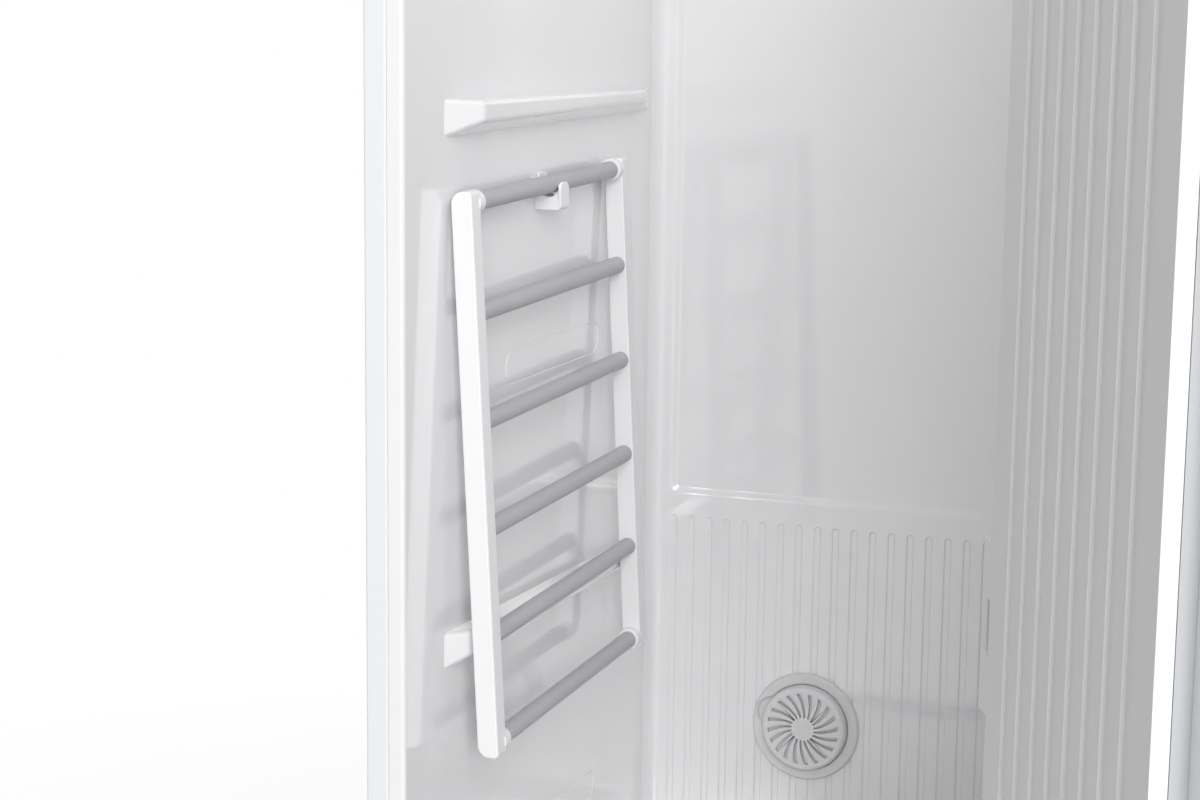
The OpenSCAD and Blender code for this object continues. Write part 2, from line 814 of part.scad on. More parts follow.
// Frame of the lint filter: a shallow cassette with cross ribs and a grip bar
module filter_frame() {
    w = filter_w - 2 * clear;
    d = filter_d - 2 * clear;
    color("lightgray") translate([filter_x, filter_y, chamber_z - filter_h]) {
        difference() {
            round_block(w, d, filter_h, 2);
            translate([0, 0, -1]) round_block(w - 8, d - 8, filter_h + 2, 2);
        }
        for (i = [-2 : 2]) block([i * w / 6 - 1, -d / 2 + 3, 2], [2, d - 6, filter_h - 5]);
        block([-w / 2 + 3, -3, filter_h - 5], [w - 6, 6, 5]);
    }
}

// Fine screen under the filter's ribs
module filter_mesh() {
    w = filter_w - 2 * clear - 8;
    d = filter_d - 2 * clear - 8;
    color("slategray") translate([filter_x, filter_y, chamber_z - filter_h]) difference() {
        round_block(w, d, 2, 2);
        for (i = [0 : 13]) for (k = [0 : 3])
            block([-w / 2 + 2 + i * (w - 2) / 14, -d / 2 + 2 + k * (d - 2) / 4, -1],
                [(w - 2) / 14 - 2, (d - 2) / 4 - 2, 4]);
    }
}

// Lid over the aroma sheet, hinged at its rear edge
module aroma_cap() {
    color("lightgray") translate([aroma_x, filter_y, chamber_z - aroma_t]) {
        difference() {
            translate([0, -1, 0]) round_block(aroma_w - 2 * clear, aroma_d - 2 * clear - 2, aroma_t, 1);
            for (x = [-2 : 2]) translate([x * 10, -3, -1]) round_block(4, 16, 10, 1.9);
        }
        translate([-aroma_w / 2 + clear, aroma_d / 2 - clear - aroma_t / 2, aroma_t / 2]) rotate([0, 90, 0])
            cylinder(r = aroma_t / 2, h = aroma_w - 2 * clear);
    }
}

// Lens of the chamber's lamp
module lamp_lens() {
    color("ghostwhite") translate([0, lamp_y, 0]) {
        translate([0, 0, ceiling_z - 3]) round_block(lamp_w, lamp_d, 3, 10);
        translate([0, 0, ceiling_z]) round_block(lamp_w - 9, lamp_d - 9, 6, 5.5);
    }
}

// Profile of the hook: x from the wall, y up from the rod's axis
module hook_profile() {
    lip0 = rack_wall + rod_r + hook_gap;
    difference() {
        union() {
            translate([0, -hook_drop]) square([lip0 + hook_lip, hook_drop - 1]);
            translate([0, -2]) square([hook_back, hook_top + 2 - hook_back / 2]);
            translate([hook_back / 2, hook_top - hook_back / 2]) circle(hook_back / 2);
            translate([lip0, -2]) square([hook_lip, hook_rise + 2 - hook_lip / 2]);
            translate([lip0 + hook_lip / 2, hook_rise - hook_lip / 2]) circle(hook_lip / 2);
        }
        translate([rack_wall, 0]) circle(rod_r + hook_gap);
        translate([rack_wall - rod_r - hook_gap, 0]) square([2 * (rod_r + hook_gap), 20]);
        translate([hook_back, -1]) square([lip0 - hook_back, 20]);
    }
}

// J-shaped hook on the left wall for the rack's top rod
module rack_hook() {
    color("white") translate([-wall_x, front_y + hook_front, rod_z]) intersection() {
        translate([0, hook_w, 0]) rotate([90, 0, 0]) linear_extrude(hook_w) hook_profile();
        union() {
            hook_tongue(hook_back + hook_gap, hook_top, hook_r);
            hook_tongue(rack_wall + rod_r + hook_gap + hook_lip, hook_rise, hook_lip_r);
        }
    }
}

// Block that reaches len from the wall, its top corners round as seen from the chamber
module hook_tongue(len, top, r) {
    rotate([90, 0, 90]) linear_extrude(len) {
        translate([0, -hook_drop]) square([hook_w, hook_drop + top - r]);
        translate([r, 0]) square([hook_w - 2 * r, top]);
        for (y = [r, hook_w - r]) translate([y, top - r]) circle(r);
    }
}

// Puts its children in the rack's own place: rods along Y, bars down along -Z
module in_rack() {
    translate([rod_x, rack_y, rod_z]) rotate([rack_tilt, 0, 0]) rotate([0, -rack_lean, 0]) children();
}

// Outline of a bar across the rods, rounder at the wall side
module bar_outline(len) {
    for (side = [-1, 1]) {
        r = side < 0 ? bar_r : bar_r2;
        translate([side * (bar_t - r) / 2, 0]) square([r, len - 2 * r], center = true);
        for (end = [-1, 1]) translate([side * (bar_t / 2 - r), end * (len / 2 - r)]) circle(r);
    }
    translate([bar_r - bar_t / 2, -len / 2]) square([bar_t - bar_r - bar_r2, len]);
}

// A bar of the rack with seats for the rods; its inner face is at y = 0 and it lies towards -Y
module rack_bar() {
    len = (rod_n - 1) * rod_pitch;
    difference() {
        union() {
            translate([0, 0, -len / 2]) rotate([90, 0, 0]) linear_extrude(bar_w)
                bar_outline(len + 2 * bar_end);
            for (z = [0, -len]) translate([0, 0, z]) bar_y(rod_r + socket_t, socket_len);
        }
        for (i = [0 : rod_n - 1])
            translate([0, -rod_seat, -i * rod_pitch]) bar_y(rod_r, rod_seat + socket_len + 1);
    }
}

module rack_front_bar() {
    color("white") in_rack() rack_bar();
}

module rack_rear_bar() {
    color("white") in_rack() translate([0, rod_span, 0]) mirror([0, 1, 0]) rack_bar();
}

// The round rods between the two bars
module rack_rods() {
    color("darkgray") in_rack() for (i = [0 : rod_n - 1])
        translate([0, -rod_seat, -i * rod_pitch]) bar_y(rod_r, rod_span + 2 * rod_seat);
}

// Dished collar of the steam grille, with a thumb scoop at its left
module steam_collar() {
    disc = grille_r + grille_gap;
    color("white") translate(grille_at) difference() {
        union() {
            rotate([90, 0, 0]) rotate_extrude($fn = 64) polygon([[0, 0], [collar_r, 0], [collar_r, 1],
                each arc([collar_r - 2, collar_h - 2], 2, 10, 100, 5),
                [disc + 1, collar_h - collar_dish], [0, collar_h - collar_dish]]);
            bar_y(spigot_r, back_t + 10);
        }
        translate([0, -collar_h - 1, 0]) bar_y(disc, collar_h + 1 - disc_seat);
        rotate([0, scoop_turn, 0]) translate([scoop_r + 2.2 - collar_r, -collar_h - 1, 0])
            bar_y(scoop_r, collar_h + 1.1 - disc_seat);
        translate([0, -1, 0]) bar_y(spigot_r - 2.5, back_t + 20);
    }
}

// A slot of the grille: it widens outwards and curls round the hub
module grille_slot() {
    steps = 5;
    left = [for (i = [0 : steps]) slot_point(i / steps, 1)];
    right = [for (i = [steps : -1 : 0]) slot_point(i / steps, -1)];
    polygon(concat(left, right));
}

// Round steam grille: a hollow cap with a round shoulder, a hub and curled slots
module steam_grille() {
    h = disc_h - disc_seat;
    color("gainsboro") translate(grille_at - [0, disc_seat, 0]) rotate([90, 0, 0]) difference() {
        rotate_extrude($fn = 64) polygon([[0, 0], [grille_r, 0], [grille_r, collar_h - disc_seat],
            each arc([grille_r - disc_round - 0.5, h - disc_round], disc_round, 0, 85, 6),
            [slot_r1 + 0.8, h - 0.2], [slot_r0 - 0.4, h - 0.2], [slot_r0 - 0.7, h], [0, h]]);
        translate([0, 0, -1]) cylinder(r = grille_r - disc_t - 0.5, h = h + 0.8 - disc_t);
        for (i = [0 : slot_n - 1]) rotate(i * 360 / slot_n)
            translate([0, 0, 1]) linear_extrude(h) grille_slot();
    }
}

// C-shaped guide under the ceiling for the moving hanger's slider
module hanger_guide() {
    len = hanger_len - 10;
    inner = guide_w / 2 + guide_gap;
    color("whitesmoke") difference() {
        block([-len / 2, hanger_y - inner - guide_t, guide_z],
            [len, 2 * (inner + guide_t), ceiling_z - guide_z]);
        block([-len / 2 - 1, hanger_y - inner, slider_z - guide_gap],
            [len + 2, 2 * inner, slider_h + 2 * guide_gap]);
        block([-len / 2 - 1, hanger_y - stem_w / 2 - guide_gap, guide_z - 1],
            [len + 2, stem_w + 2 * guide_gap, 10]);
        pin_window(slider_z, 60);
    }
}

// Moving hanger bar: notched bar, two stems and the slider with the yoke for the crank's pin
module hanger_bar() {
    bar_z = ceiling_z - hanger_drop;
    slider = hanger_len - 50;
    step = hanger_len / (notch_n + 1);
    color("gainsboro") difference() {
        union() {
            translate([-hanger_len / 2, hanger_y, bar_z + hanger_t / 2]) rotate([90, 0, 90])
                linear_extrude(hanger_len) round_rect(hanger_w, hanger_t, 4);
            for (x = [-1, 1]) block([x * slider / 3 - 12, hanger_y - stem_w / 2, bar_z + hanger_t - 1],
                [24, stem_w, slider_z - bar_z - hanger_t + 2]);
            block([-slider / 2, hanger_y - guide_w / 2, slider_z], [slider, guide_w, slider_h]);
        }
        for (i = [1 : notch_n]) translate([-hanger_len / 2 + i * step, 0, bar_z + hanger_t])
            block([-notch_w / 2, hanger_y - hanger_w, -notch_depth],
                [notch_w, 2 * hanger_w, notch_depth + 1]);
        translate([0, hanger_y, slider_z - 1]) linear_extrude(slider_h + 2)
            round_rect(2 * (crank_pin_r + yoke_gap), 2 * (crank_pin_r + 4), crank_pin_r);
    }
}

// Crank disc above the ceiling; its pin reaches down into the yoke
module crank_disc() {
    color("gainsboro") translate([0, crank_y, crank_z]) {
        difference() {
            union() {
                cylinder(r = crank_r + crank_pin_r + 3, h = 6);
                cylinder(r = 10, h = 14);
            }
            translate([0, 0, 2]) cylinder(r = motor_shaft_r + pin_gap, h = 20);
        }
        pin_len = crank_z - slider_z - 1;
        translate([0, crank_r, -pin_len]) cylinder(r = crank_pin_r, h = pin_len + 1);
    }
}

// Gear motor of the moving hanger on its bridge
module hanger_motor() {
    z0 = ceiling_z + liner_t;
    color("silver") translate([0, crank_y, 0]) {
        translate([0, 0, z0 + 28]) cylinder(r = 26, h = 34);
        translate([0, 0, z0 + 7]) cylinder(r = motor_shaft_r, h = 22);
        difference() {
            block([-48, -22, z0], [96, 44, 28]);
            block([-42, -23, z0 - 1], [84, 46, 25]);
            translate([0, 0, z0]) cylinder(r = motor_shaft_r + 3, h = 40);
        }
        translate([0, 0, z0 + 24]) cylinder(r = motor_shaft_r + 4, h = 5);
    }
}

// Turns its children with the door about the hinge axis; they are written as for the closed door
module in_door() {
    translate([hinge_x, hinge_y, 0]) rotate([0, 0, door_open]) translate([-hinge_x, -hinge_y, 0]) children();
}

// Front panel of the door with the cut-out for the display window
module door_front_panel() {
    color("whitesmoke") in_door() difference() {
        translate([0, door_front, door_z + door_h / 2]) rotate([-90, 0, 0])
            linear_extrude(front_t) round_rect(cabinet_w, door_h, 4);
        display_cut(0);
    }
}

// Outline of the display window, smaller by gap
module display_cut(gap) {
    translate([0, door_front - 1, window_z]) rotate([-90, 0, 0]) linear_extrude(front_t + 2)
        round_rect(window_w - 2 * gap, window_h - 2 * gap, 8);
}

// Dark window of the touch display
module display_window() {
    color("black") in_door() intersection() {
        display_cut(0.15);
        block([-window_w, door_front, window_z - window_h], [2 * window_w, front_t, 2 * window_h]);
    }
}

// Circuit board behind the window
module display_board() {
    color("darkgreen") in_door()
        block([-window_w / 2 + 4, door_front + front_t, window_z - window_h / 2 + 6],
            [window_w - 8, 5, window_h - 12]);
}

// Door frame: stiles and rails, bored for the hinge bushes, with a pocket for the edge grip
module door_frame() {
    y0 = door_front + front_t;
    d = door_t - front_t - door_liner_t;
    color("whitesmoke") in_door() difference() {
        block([-cabinet_w / 2, y0, door_z], [cabinet_w, d, door_h]);
        block([-cabinet_w / 2 + stile_w, y0 - 1, door_z + stile_w],
            [cabinet_w - 2 * stile_w, d + 2, door_h - 2 * stile_w]);
        for (z = [door_z - 1, door_top - bush_len])
            translate([hinge_x, hinge_y, z]) cylinder(r = bush_r, h = bush_len + 1);
        block([-cabinet_w / 2 - 1, grip_y, grip_z - grip_len / 2], [grip_depth + 1, grip_t, grip_len]);
    }
}

// Lining of the grip pocket in the door's free edge
module edge_grip() {
    w = grip_depth;
    color("silver") in_door() difference() {
        block([-cabinet_w / 2, grip_y, grip_z - grip_len / 2], [w, grip_t, grip_len]);
        block([-cabinet_w / 2 - 1, grip_y + 2, grip_z - grip_len / 2 + 2], [w - 1, grip_t - 4, grip_len - 4]);
    }
}

// Foam inside the door, cut out behind the display board
module door_insulation() {
    y0 = door_front + front_t;
    d = door_t - front_t - door_liner_t;
    color("ivory") in_door() difference() {
        block([-cabinet_w / 2 + stile_w, y0, door_z + stile_w],
            [cabinet_w - 2 * stile_w, d, door_h - 2 * stile_w]);
        block([-window_w / 2, y0 - 1, window_z - window_h / 2], [window_w, 9, window_h]);
    }
}

// Inner moulding of the door, with a raised centre that reaches into the chamber
module door_liner() {
    y0 = door_back - door_liner_t;
    w = chamber_w - 2 * plateau_side;
    h = chamber_h - 60;
    mid = chamber_z + chamber_h / 2 + 4;
    color("white") in_door() difference() {
        union() {
            block([-cabinet_w / 2, y0, door_z], [cabinet_w, door_liner_t, door_h]);
            translate([0, door_back - 0.01, mid]) rotate([-90, 0, 0])
                soft_slab(w, h, 20, plateau_h + 0.01, plateau_slope);
        }
        translate([0, y0 - 0.01, mid]) rotate([-90, 0, 0])
            soft_slab(w - 2 * door_liner_t, h - 2 * door_liner_t, 17, plateau_h + 0.01, plateau_slope);
    }
}

// Magnetic gasket round the chamber's opening, with a soft bulb
module door_gasket() {
    x1 = wall_x + gasket_w;
    z0 = chamber_z - gasket_w - 12;
    z1 = ceiling_z + gasket_w;
    color("lightgray") in_door() difference() {
        block([-x1, door_back, z0], [2 * x1, door_gap - clear, z1 - z0]);
        block([-wall_x, door_back - 1, z0 + gasket_w], [2 * wall_x, door_gap + 2, z1 - z0 - 2 * gasket_w]);
    }
}

// Bushes in the door's top and bottom rails
module hinge_bushes() {
    color("dimgray") in_door() for (z = [door_z, door_top - bush_len])
        translate([hinge_x, hinge_y, z]) difference() {
            cylinder(r = bush_r, h = bush_len);
            translate([0, 0, -1]) cylinder(r = hinge_pin_r + pin_gap, h = bush_len + 2);
        }
}

// Heated base of the trouser press on the door's raised centre, with its hinge knuckles
module press_base() {
    y0 = door_back + plateau_h;
    color("gainsboro") in_door() {
        translate([0, y0, press_mid]) rotate([-90, 0, 0]) linear_extrude(press_t)
            round_rect(press_w, press_h, 12);
        for (k = [-1, 1]) press_knuckle(k * press_h / 3, knuckle_len, y0);
    }
}

// Knuckle of the press's hinge: an eye on a foot that reaches back to y0
module press_knuckle(z, len, y0) {
    difference() {
        union() {
            translate([press_axis_x, press_axis_y, press_mid + z - len / 2]) cylinder(r = knuckle_r, h = len);
            block([press_axis_x - knuckle_r - 12, min(y0, press_axis_y), press_mid + z - len / 2],
                [knuckle_r + 12, abs(press_axis_y - y0), len]);
        }
        translate([press_axis_x, press_axis_y, press_mid + z - len])
            cylinder(r = press_pin_r + pin_gap, h = 2 * len);
    }
}

// Cover of the trouser press: a ribbed plate with its own knuckles and a grip edge
module press_cover() {
    y0 = door_back + plateau_h + press_t + clear;
    color("white") in_door() difference() {
        union() {
            translate([-knuckle_r, y0, press_mid]) rotate([-90, 0, 0]) linear_extrude(press_t)
                round_rect(press_w - 2 * knuckle_r, press_h, 12);
            for (k = [-1, 1], side = [-1, 1])
                press_knuckle(k * press_h / 3 + side * (knuckle_len + clear), knuckle_len, y0 + press_t);
        }
        for (x = [-4 : 3]) translate([x * 28 + 8, y0 + press_t, press_mid]) rotate([-90, 0, 0])
            linear_extrude(4, center = true) round_rect(12, press_h - 120, 5.9);
    }
}

// Long pins through the press's knuckles
module press_pins() {
    color("silver") in_door() for (k = [-1, 1])
        translate([press_axis_x, press_axis_y, press_mid + k * press_h / 3 - 1.6 * knuckle_len])
            cylinder(r = press_pin_r, h = 3.2 * knuckle_len);
}

// Plan of a hinge plate from the cabinet's front to the hinge axis
module hinge_plan(back) {
    hull() {
        translate([hinge_x, hinge_y]) circle(hinge_r);
        translate([hinge_x - hinge_side, front_y + 2]) square([hinge_side + 12, back]);
    }
}

// Top hinge plate with its pin
module top_hinge() {
    color("silver") {
        translate([0, 0, cabinet_h]) linear_extrude(hinge_t) hinge_plan(hinge_reach);
        translate([hinge_x, hinge_y, door_top - bush_len + 2])
            cylinder(r = hinge_pin_r, h = cabinet_h - door_top + bush_len);
        for (x = [-34, -14], y = [20, 40])
            translate([hinge_x + x, front_y + y, cabinet_h + hinge_t]) cylinder(r = 5, h = 3);
    }
}

// Bottom hinge bracket under the kick plate's corner, with its pin and shoulder
module bottom_hinge() {
    color("silver") {
        translate([0, 0, foot_h - plate_t - 2]) linear_extrude(plate_t + 2) hinge_plan(10);
        translate([hinge_x, hinge_y, foot_h - 1]) {
            cylinder(r = hinge_pin_r + 3, h = door_z - foot_h + 1 - clear);
            cylinder(r = hinge_pin_r, h = door_z - foot_h + bush_len - 2);
        }
    }
}

// Moulded cover over the top hinge
module hinge_cover() {
    color("whitesmoke") difference() {
        translate([0, 0, cabinet_h]) linear_extrude(cover_h) cover_plan(3);
        translate([0, 0, cabinet_h - 1]) linear_extrude(cover_h - 1.5) cover_plan(0.6);
    }
}

// Plan of the hinge cover, grown by t round the plate
module cover_plan(t) {
    hull() {
        translate([hinge_x, hinge_y]) circle(hinge_r + t - 0.2);
        translate([hinge_x - hinge_side - t, front_y + 2])
            square([hinge_side + 12 + t + min(t, cabinet_w / 2 - hinge_x - 12), hinge_reach + t]);
    }
}

// Moulded bay for the two tanks, with a divider and low runners
module tank_bay() {
    color("gainsboro") difference() {
        union() {
            block([-bay_w / 2, front_y, bay_z], [bay_w, bay_d, bay_h]);
            block([-flange_x, front_y, bay_z], [2 * flange_x, liner_t, chamber_z - floor_h - bay_z]);
        }
        for (x = [-1, 1]) translate([x * tank_x - tank_w / 2 - tank_gap, front_y - 1, bay_z + bay_t])
            cube([tank_w + 2 * tank_gap, bay_d - bay_t + 1, bay_h - 2 * bay_t]);
        for (x = [-1, 1])
            translate([x * tank_x, bay_back - bay_t - 1, tank_z + valve_z]) bar_y(valve_r + clear, bay_t + 2);
    }
    color("gainsboro") for (x = [-1, 1], s = [-1, 1])
        block([x * tank_x + s * tank_w / 3 - 3, front_y + 10, bay_z + bay_t - 1], [6, bay_d - 24, 1]);
}

// A tank without its lid: front face with a finger recess, open above, valve neck behind
module tank_shell() {
    translate([0, tank_y, tank_z]) difference() {
        union() {
            round_block(tank_w, tank_d, tank_h, 8);
            translate([0, tank_d / 2 - 1, valve_z]) bar_y(valve_r, bay_d - tank_d + 3);
        }
        translate([0, 0, tank_t]) difference() {
            round_block(tank_w - 2 * tank_t, tank_d - 2 * tank_t, tank_h, 5.5);
            translate([0, -tank_d / 2, tank_h - grasp_drop - 5])
                round_block(grasp_w + 2 * tank_t, grasp_d + 4, grasp_h + 10, 8);
        }
        translate([0, -tank_d / 2, tank_h - grasp_drop]) round_block(grasp_w, grasp_d, grasp_h, 6);
        translate([0, tank_d / 2 - 10, valve_z]) bar_y(valve_r - 3, 60);
    }
}

// Lid of a tank, with a rim inside the tank and a filler hole
module tank_lid() {
    translate([0, tank_y, tank_z + tank_h]) difference() {
        union() {
            round_block(tank_w, tank_d, 5, 8);
            translate([0, 0, -5]) difference() {
                round_block(tank_w - 2 * tank_t - 2 * clear, tank_d - 2 * tank_t - 2 * clear, 6, 5);
                translate([0, 0, -1]) round_block(tank_w - 2 * tank_t - 8, tank_d - 2 * tank_t - 8, 8, 4);
            }
        }
        translate([0, 40, -10]) cylinder(r = 22, h = 30);
    }
}

module supply_tank() {
    color("lightsteelblue") translate([-tank_x, 0, 0]) tank_shell();
}

module supply_lid() {
    color("white") translate([-tank_x, 0, 0]) tank_lid();
}

module drain_tank() {
    color("lightgray") translate([tank_x, 0, 0]) tank_shell();
}

module drain_lid() {
    color("white") translate([tank_x, 0, 0]) tank_lid();
}

// Steam generator: a boiler block with cast ribs, inlet and outlet necks, on a bracket
module steam_generator() {
    color("silver") {
        translate([boiler_x, boiler_y, boiler_z]) difference() {
            union() {
                round_block(boiler_w, boiler_d, boiler_h, 12);
                for (z = [14, 35, 56]) translate([0, 0, z - 2])
                    round_block(boiler_w + 6, boiler_d + 6, 4, 14);
                translate([0, boiler_d / 2 - 2, neck_z]) bar_y(hose_r + 3, 14);
                translate([-30, 2 - boiler_d / 2, 20]) rotate([180, 0, 0]) bar_y(5, 12);
            }
            translate([0, 0, 6]) round_block(boiler_w - 14, boiler_d - 14, boiler_h - 12, 8);
            translate([0, boiler_d / 2 - 10, neck_z]) bar_y(hose_r + pin_gap, 30);
            for (x = [-1, 1])
                translate([x * element_x, -boiler_d / 2 - 20, element_z]) bar_y(element_r, 30);
        }
        for (x = [5, boiler_w - 11]) block([boiler_x - boiler_w / 2 + x, boiler_y - 30, foot_h + plate_t],
            [6, 60, boiler_z - foot_h - plate_t]);
    }
}

// U-shaped heating element inside the boiler
module heating_element() {
    color("dimgray") translate([boiler_x, boiler_y, boiler_z + element_z]) {
        for (x = [-1, 1]) translate([x * element_x, -boiler_d / 2 - 14, 0]) bar_y(element_r, boiler_d - 18);
        translate([0, boiler_d / 2 - 32, 0]) rotate_extrude(angle = 180)
            translate([element_x, 0]) circle(element_r);
    }
}

// Steam hose from the boiler up to the grille's spigot
module steam_hose() {
    z0 = boiler_z + neck_z;
    y1 = rear_y - 24;
    gx = grille_at[0];
    gz = grille_at[2];
    r = hose_bend;
    color("dimgray") {
        translate([boiler_x, boiler_y + boiler_d / 2, z0]) bar_y(hose_r, y1 - r - boiler_y - boiler_d / 2);
        translate([boiler_x - r, y1 - r, z0]) rotate_extrude(angle = 90) translate([r, 0]) circle(hose_r);
        translate([gx + r, y1, z0]) rotate([0, 90, 0]) cylinder(r = hose_r, h = boiler_x - gx - 2 * r);
        translate([gx + r, y1, z0 + r]) rotate([90, 0, 0]) rotate([0, 0, 180])
            rotate_extrude(angle = 90) translate([r, 0]) circle(hose_r);
        translate([gx, y1, z0 + r]) cylinder(r = hose_r, h = gz - z0 - 2 * r);
        translate([gx, y1 - r, gz - r]) rotate([90, 0, 90])
            rotate_extrude(angle = 90) translate([r, 0]) circle(hose_r);
        translate([gx, back_y + back_t + 10, gz]) bar_y(hose_r, y1 - r - back_y - back_t - 10);
    }
}

// Outline of the fan's housing about the wheel's axis, smaller by t
module scroll_plan(t) {
    circle(fan_r + scroll_gap - t);
    translate([-fan_r - scroll_gap + t, -1])
        square([duct_w - 2 * t, chamber_z - floor_h - fan_at[2] + 1 + t]);
}

// Fan housing with its round inlet in front and the duct up to the air outlet
module fan_housing() {
    d = fan_d + 2 * fan_side;
    color("gainsboro") translate(fan_at + [0, d / 2, 0]) rotate([90, 0, 0]) difference() {
        linear_extrude(d) scroll_plan(0);
        translate([0, 0, fan_wall]) linear_extrude(d - 2 * fan_wall) scroll_plan(fan_wall);
        translate([0, 0, d - 4]) cylinder(r = fan_r - 10, h = 6);
        translate([0, 0, -1]) cylinder(r = 14, h = 6);
    }
}

// Squirrel-cage wheel: back plate with hub, blades and front ring
module fan_wheel() {
    color("dimgray") translate(fan_at) {
        difference() {
            union() {
                translate([0, fan_d / 2 - 3, 0]) bar_y(fan_r, 3);
                translate([0, fan_d / 2 - 20, 0]) bar_y(11, 20);
            }
            translate([0, fan_d / 2 - 30, 0]) bar_y(fan_shaft_r + pin_gap, 40);
        }
        difference() {
            translate([0, -fan_d / 2, 0]) bar_y(fan_r, 3);
            translate([0, -fan_d / 2 - 1, 0]) bar_y(fan_r - blade_w, 5);
        }
        for (i = [0 : blade_n - 1]) rotate([0, i * 360 / blade_n, 0])
            translate([fan_r - blade_w / 2 - 1, 0, 0]) rotate([0, 28, 0])
                cube([blade_w - 2, fan_d - 2, 1.4], center = true);
    }
}

// Fan motor behind the housing, with its shaft in the wheel's hub
module fan_motor() {
    y0 = fan_d / 2 + fan_side;
    color("silver") translate(fan_at) {
        translate([0, y0, 0]) bar_y(30, 6);
        translate([0, y0 + 5, 0]) bar_y(26, 36);
        translate([0, fan_d / 2 - 16, 0]) bar_y(fan_shaft_r, fan_side + 17);
        for (a = [45 : 90 : 315]) rotate([0, a, 0]) translate([24, y0, 0]) bar_y(3, 9);
    }
}

// Fins, tubes and end plates of a heat exchanger that starts at y; the end plates stand in the base tray
module heat_exchanger(y) {
    step = coil_w / fin_n;
    for (i = [1 : fin_n - 1]) block([coil_x + i * step - fin_t / 2, y, coil_z], [fin_t, coil_d, coil_h]);
    for (x = [0, coil_w]) block([coil_x + x - 1, y, foot_h + plate_t],
        [2, coil_d, coil_z + coil_h - foot_h - plate_t]);
    for (row = [0 : 4]) translate([coil_x - 4, y + coil_d / 2, coil_z + 14 + row * (coil_h - 28) / 4])
        rotate([0, 90, 0]) cylinder(r = 4, h = coil_w + 8);
}

module evaporator() {
    color("lightsteelblue") heat_exchanger(bay_back + 16);
}

module condenser() {
    color("peru") heat_exchanger(bay_back + 16 + coil_d + 8);
}

// Hermetic compressor on its foot plate, with the suction and discharge stubs
module compressor() {
    color("dimgray") translate([compressor_x, compressor_y, foot_h + plate_t]) {
        difference() {
            round_block(2 * compressor_r + 16, 2 * compressor_r - 20, 4, 10);
            for (x = [-1, 1], y = [-1, 1]) translate([x * (compressor_r - 2), y * (compressor_r - 22), -1])
                cylinder(r = 4, h = 6);
        }
        translate([0, 0, 3]) rotate_extrude() polygon([[0, 0], [compressor_r - 8, 0],
            each arc([compressor_r - 8, 8], 8, -90, 0, 5),
            each arc([compressor_r - 34, compressor_h - 34], 34, 0, 90, 8), [0, compressor_h]]);
        for (x = [-20, 20]) translate([x, -10, compressor_h - 12]) cylinder(r = 4, h = 26);
    }
}

// Drain pump on the base tray, between the drain tank's valve and the drip pan
module drain_pump() {
    color("whitesmoke") translate([pump_x, pump_y, foot_h + plate_t]) {
        round_block(pump_w, pump_d, pump_r + 1, 6);
        translate([0, 0, pump_r]) cylinder(r = pump_r, h = pump_h);
        translate([0, 2 - pump_d / 2, 9]) rotate([180, 0, 0]) bar_y(5, 14);
    }
}

// Control box on the inside of the right side panel
module control_box() {
    color("lightgray") translate([sheet_x - clear - box_w, box_y, coil_z]) difference() {
        cube([box_w, box_d, box_h]);
        for (i = [1 : floor(box_d / box_step) - 2]) translate([-1, i * box_step, box_h / 4])
            cube([4, box_slot, box_h / 2]);
    }
}

// Socket for the mains lead in the rear panel
module power_inlet() {
    color("dimgray") translate([inlet_x, rear_y - 2 * sheet_t, inlet_z]) difference() {
        union() {
            block([-inlet_w / 2, -24, -inlet_h / 2], [inlet_w, 24 + 2 * sheet_t, inlet_h]);
            block([-inlet_w / 2 - 3, -2, -inlet_h / 2 - 4], [inlet_w + 6, 2, inlet_h + 8]);
        }
        block([5 - inlet_w / 2, -16, 5 - inlet_h / 2], [inlet_w - 10, 40, inlet_h - 10]);
    }
    color("silver") for (x = [-7, 0, 7])
        block([inlet_x + x - 1, rear_y - 2 * sheet_t - 17, inlet_z - 2], [2, 14, 4]);
}

side_panel_left();
side_panel_right();
top_panel();
rear_panel();
service_cover();
base_tray();
kick_plate();
insulation();
rear_feet();
levelling_foot_left();
levelling_foot_right();
chamber_liner();
chamber_floor();
air_outlet();
filter_frame();
filter_mesh();
aroma_cap();
lamp_lens();
rack_hook();
rack_front_bar();
rack_rear_bar();
rack_rods();
steam_collar();
steam_grille();
hanger_guide();
hanger_bar();
crank_disc();
hanger_motor();
door_front_panel();
door_frame();
door_insulation();
door_liner();
door_gasket();
edge_grip();
display_window();
display_board();
hinge_bushes();
press_base();
press_cover();
press_pins();
top_hinge();
bottom_hinge();
hinge_cover();
tank_bay();
supply_tank();
supply_lid();
drain_tank();
drain_lid();
steam_generator();
heating_element();
steam_hose();
fan_housing();
fan_wheel();
fan_motor();
evaporator();
condenser();
compressor();
drain_pump();
control_box();
power_inlet();
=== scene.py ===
# %% [markdown]
# # A steam closet, from its white liner to its studio light
# A steam closet is a tall narrow cabinet that hangs clothes in a warm, damp chamber. Its chamber is one
# glossy moulding with shelf ledges, and a rack of grey rods hangs on its left wall.
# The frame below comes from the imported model. Every piece made here stands for one of its nodes.

# %% Load the frame and keep its box
import json
import math
from contextlib import contextmanager

import bmesh
import bpy
from mathutils import Matrix, Vector


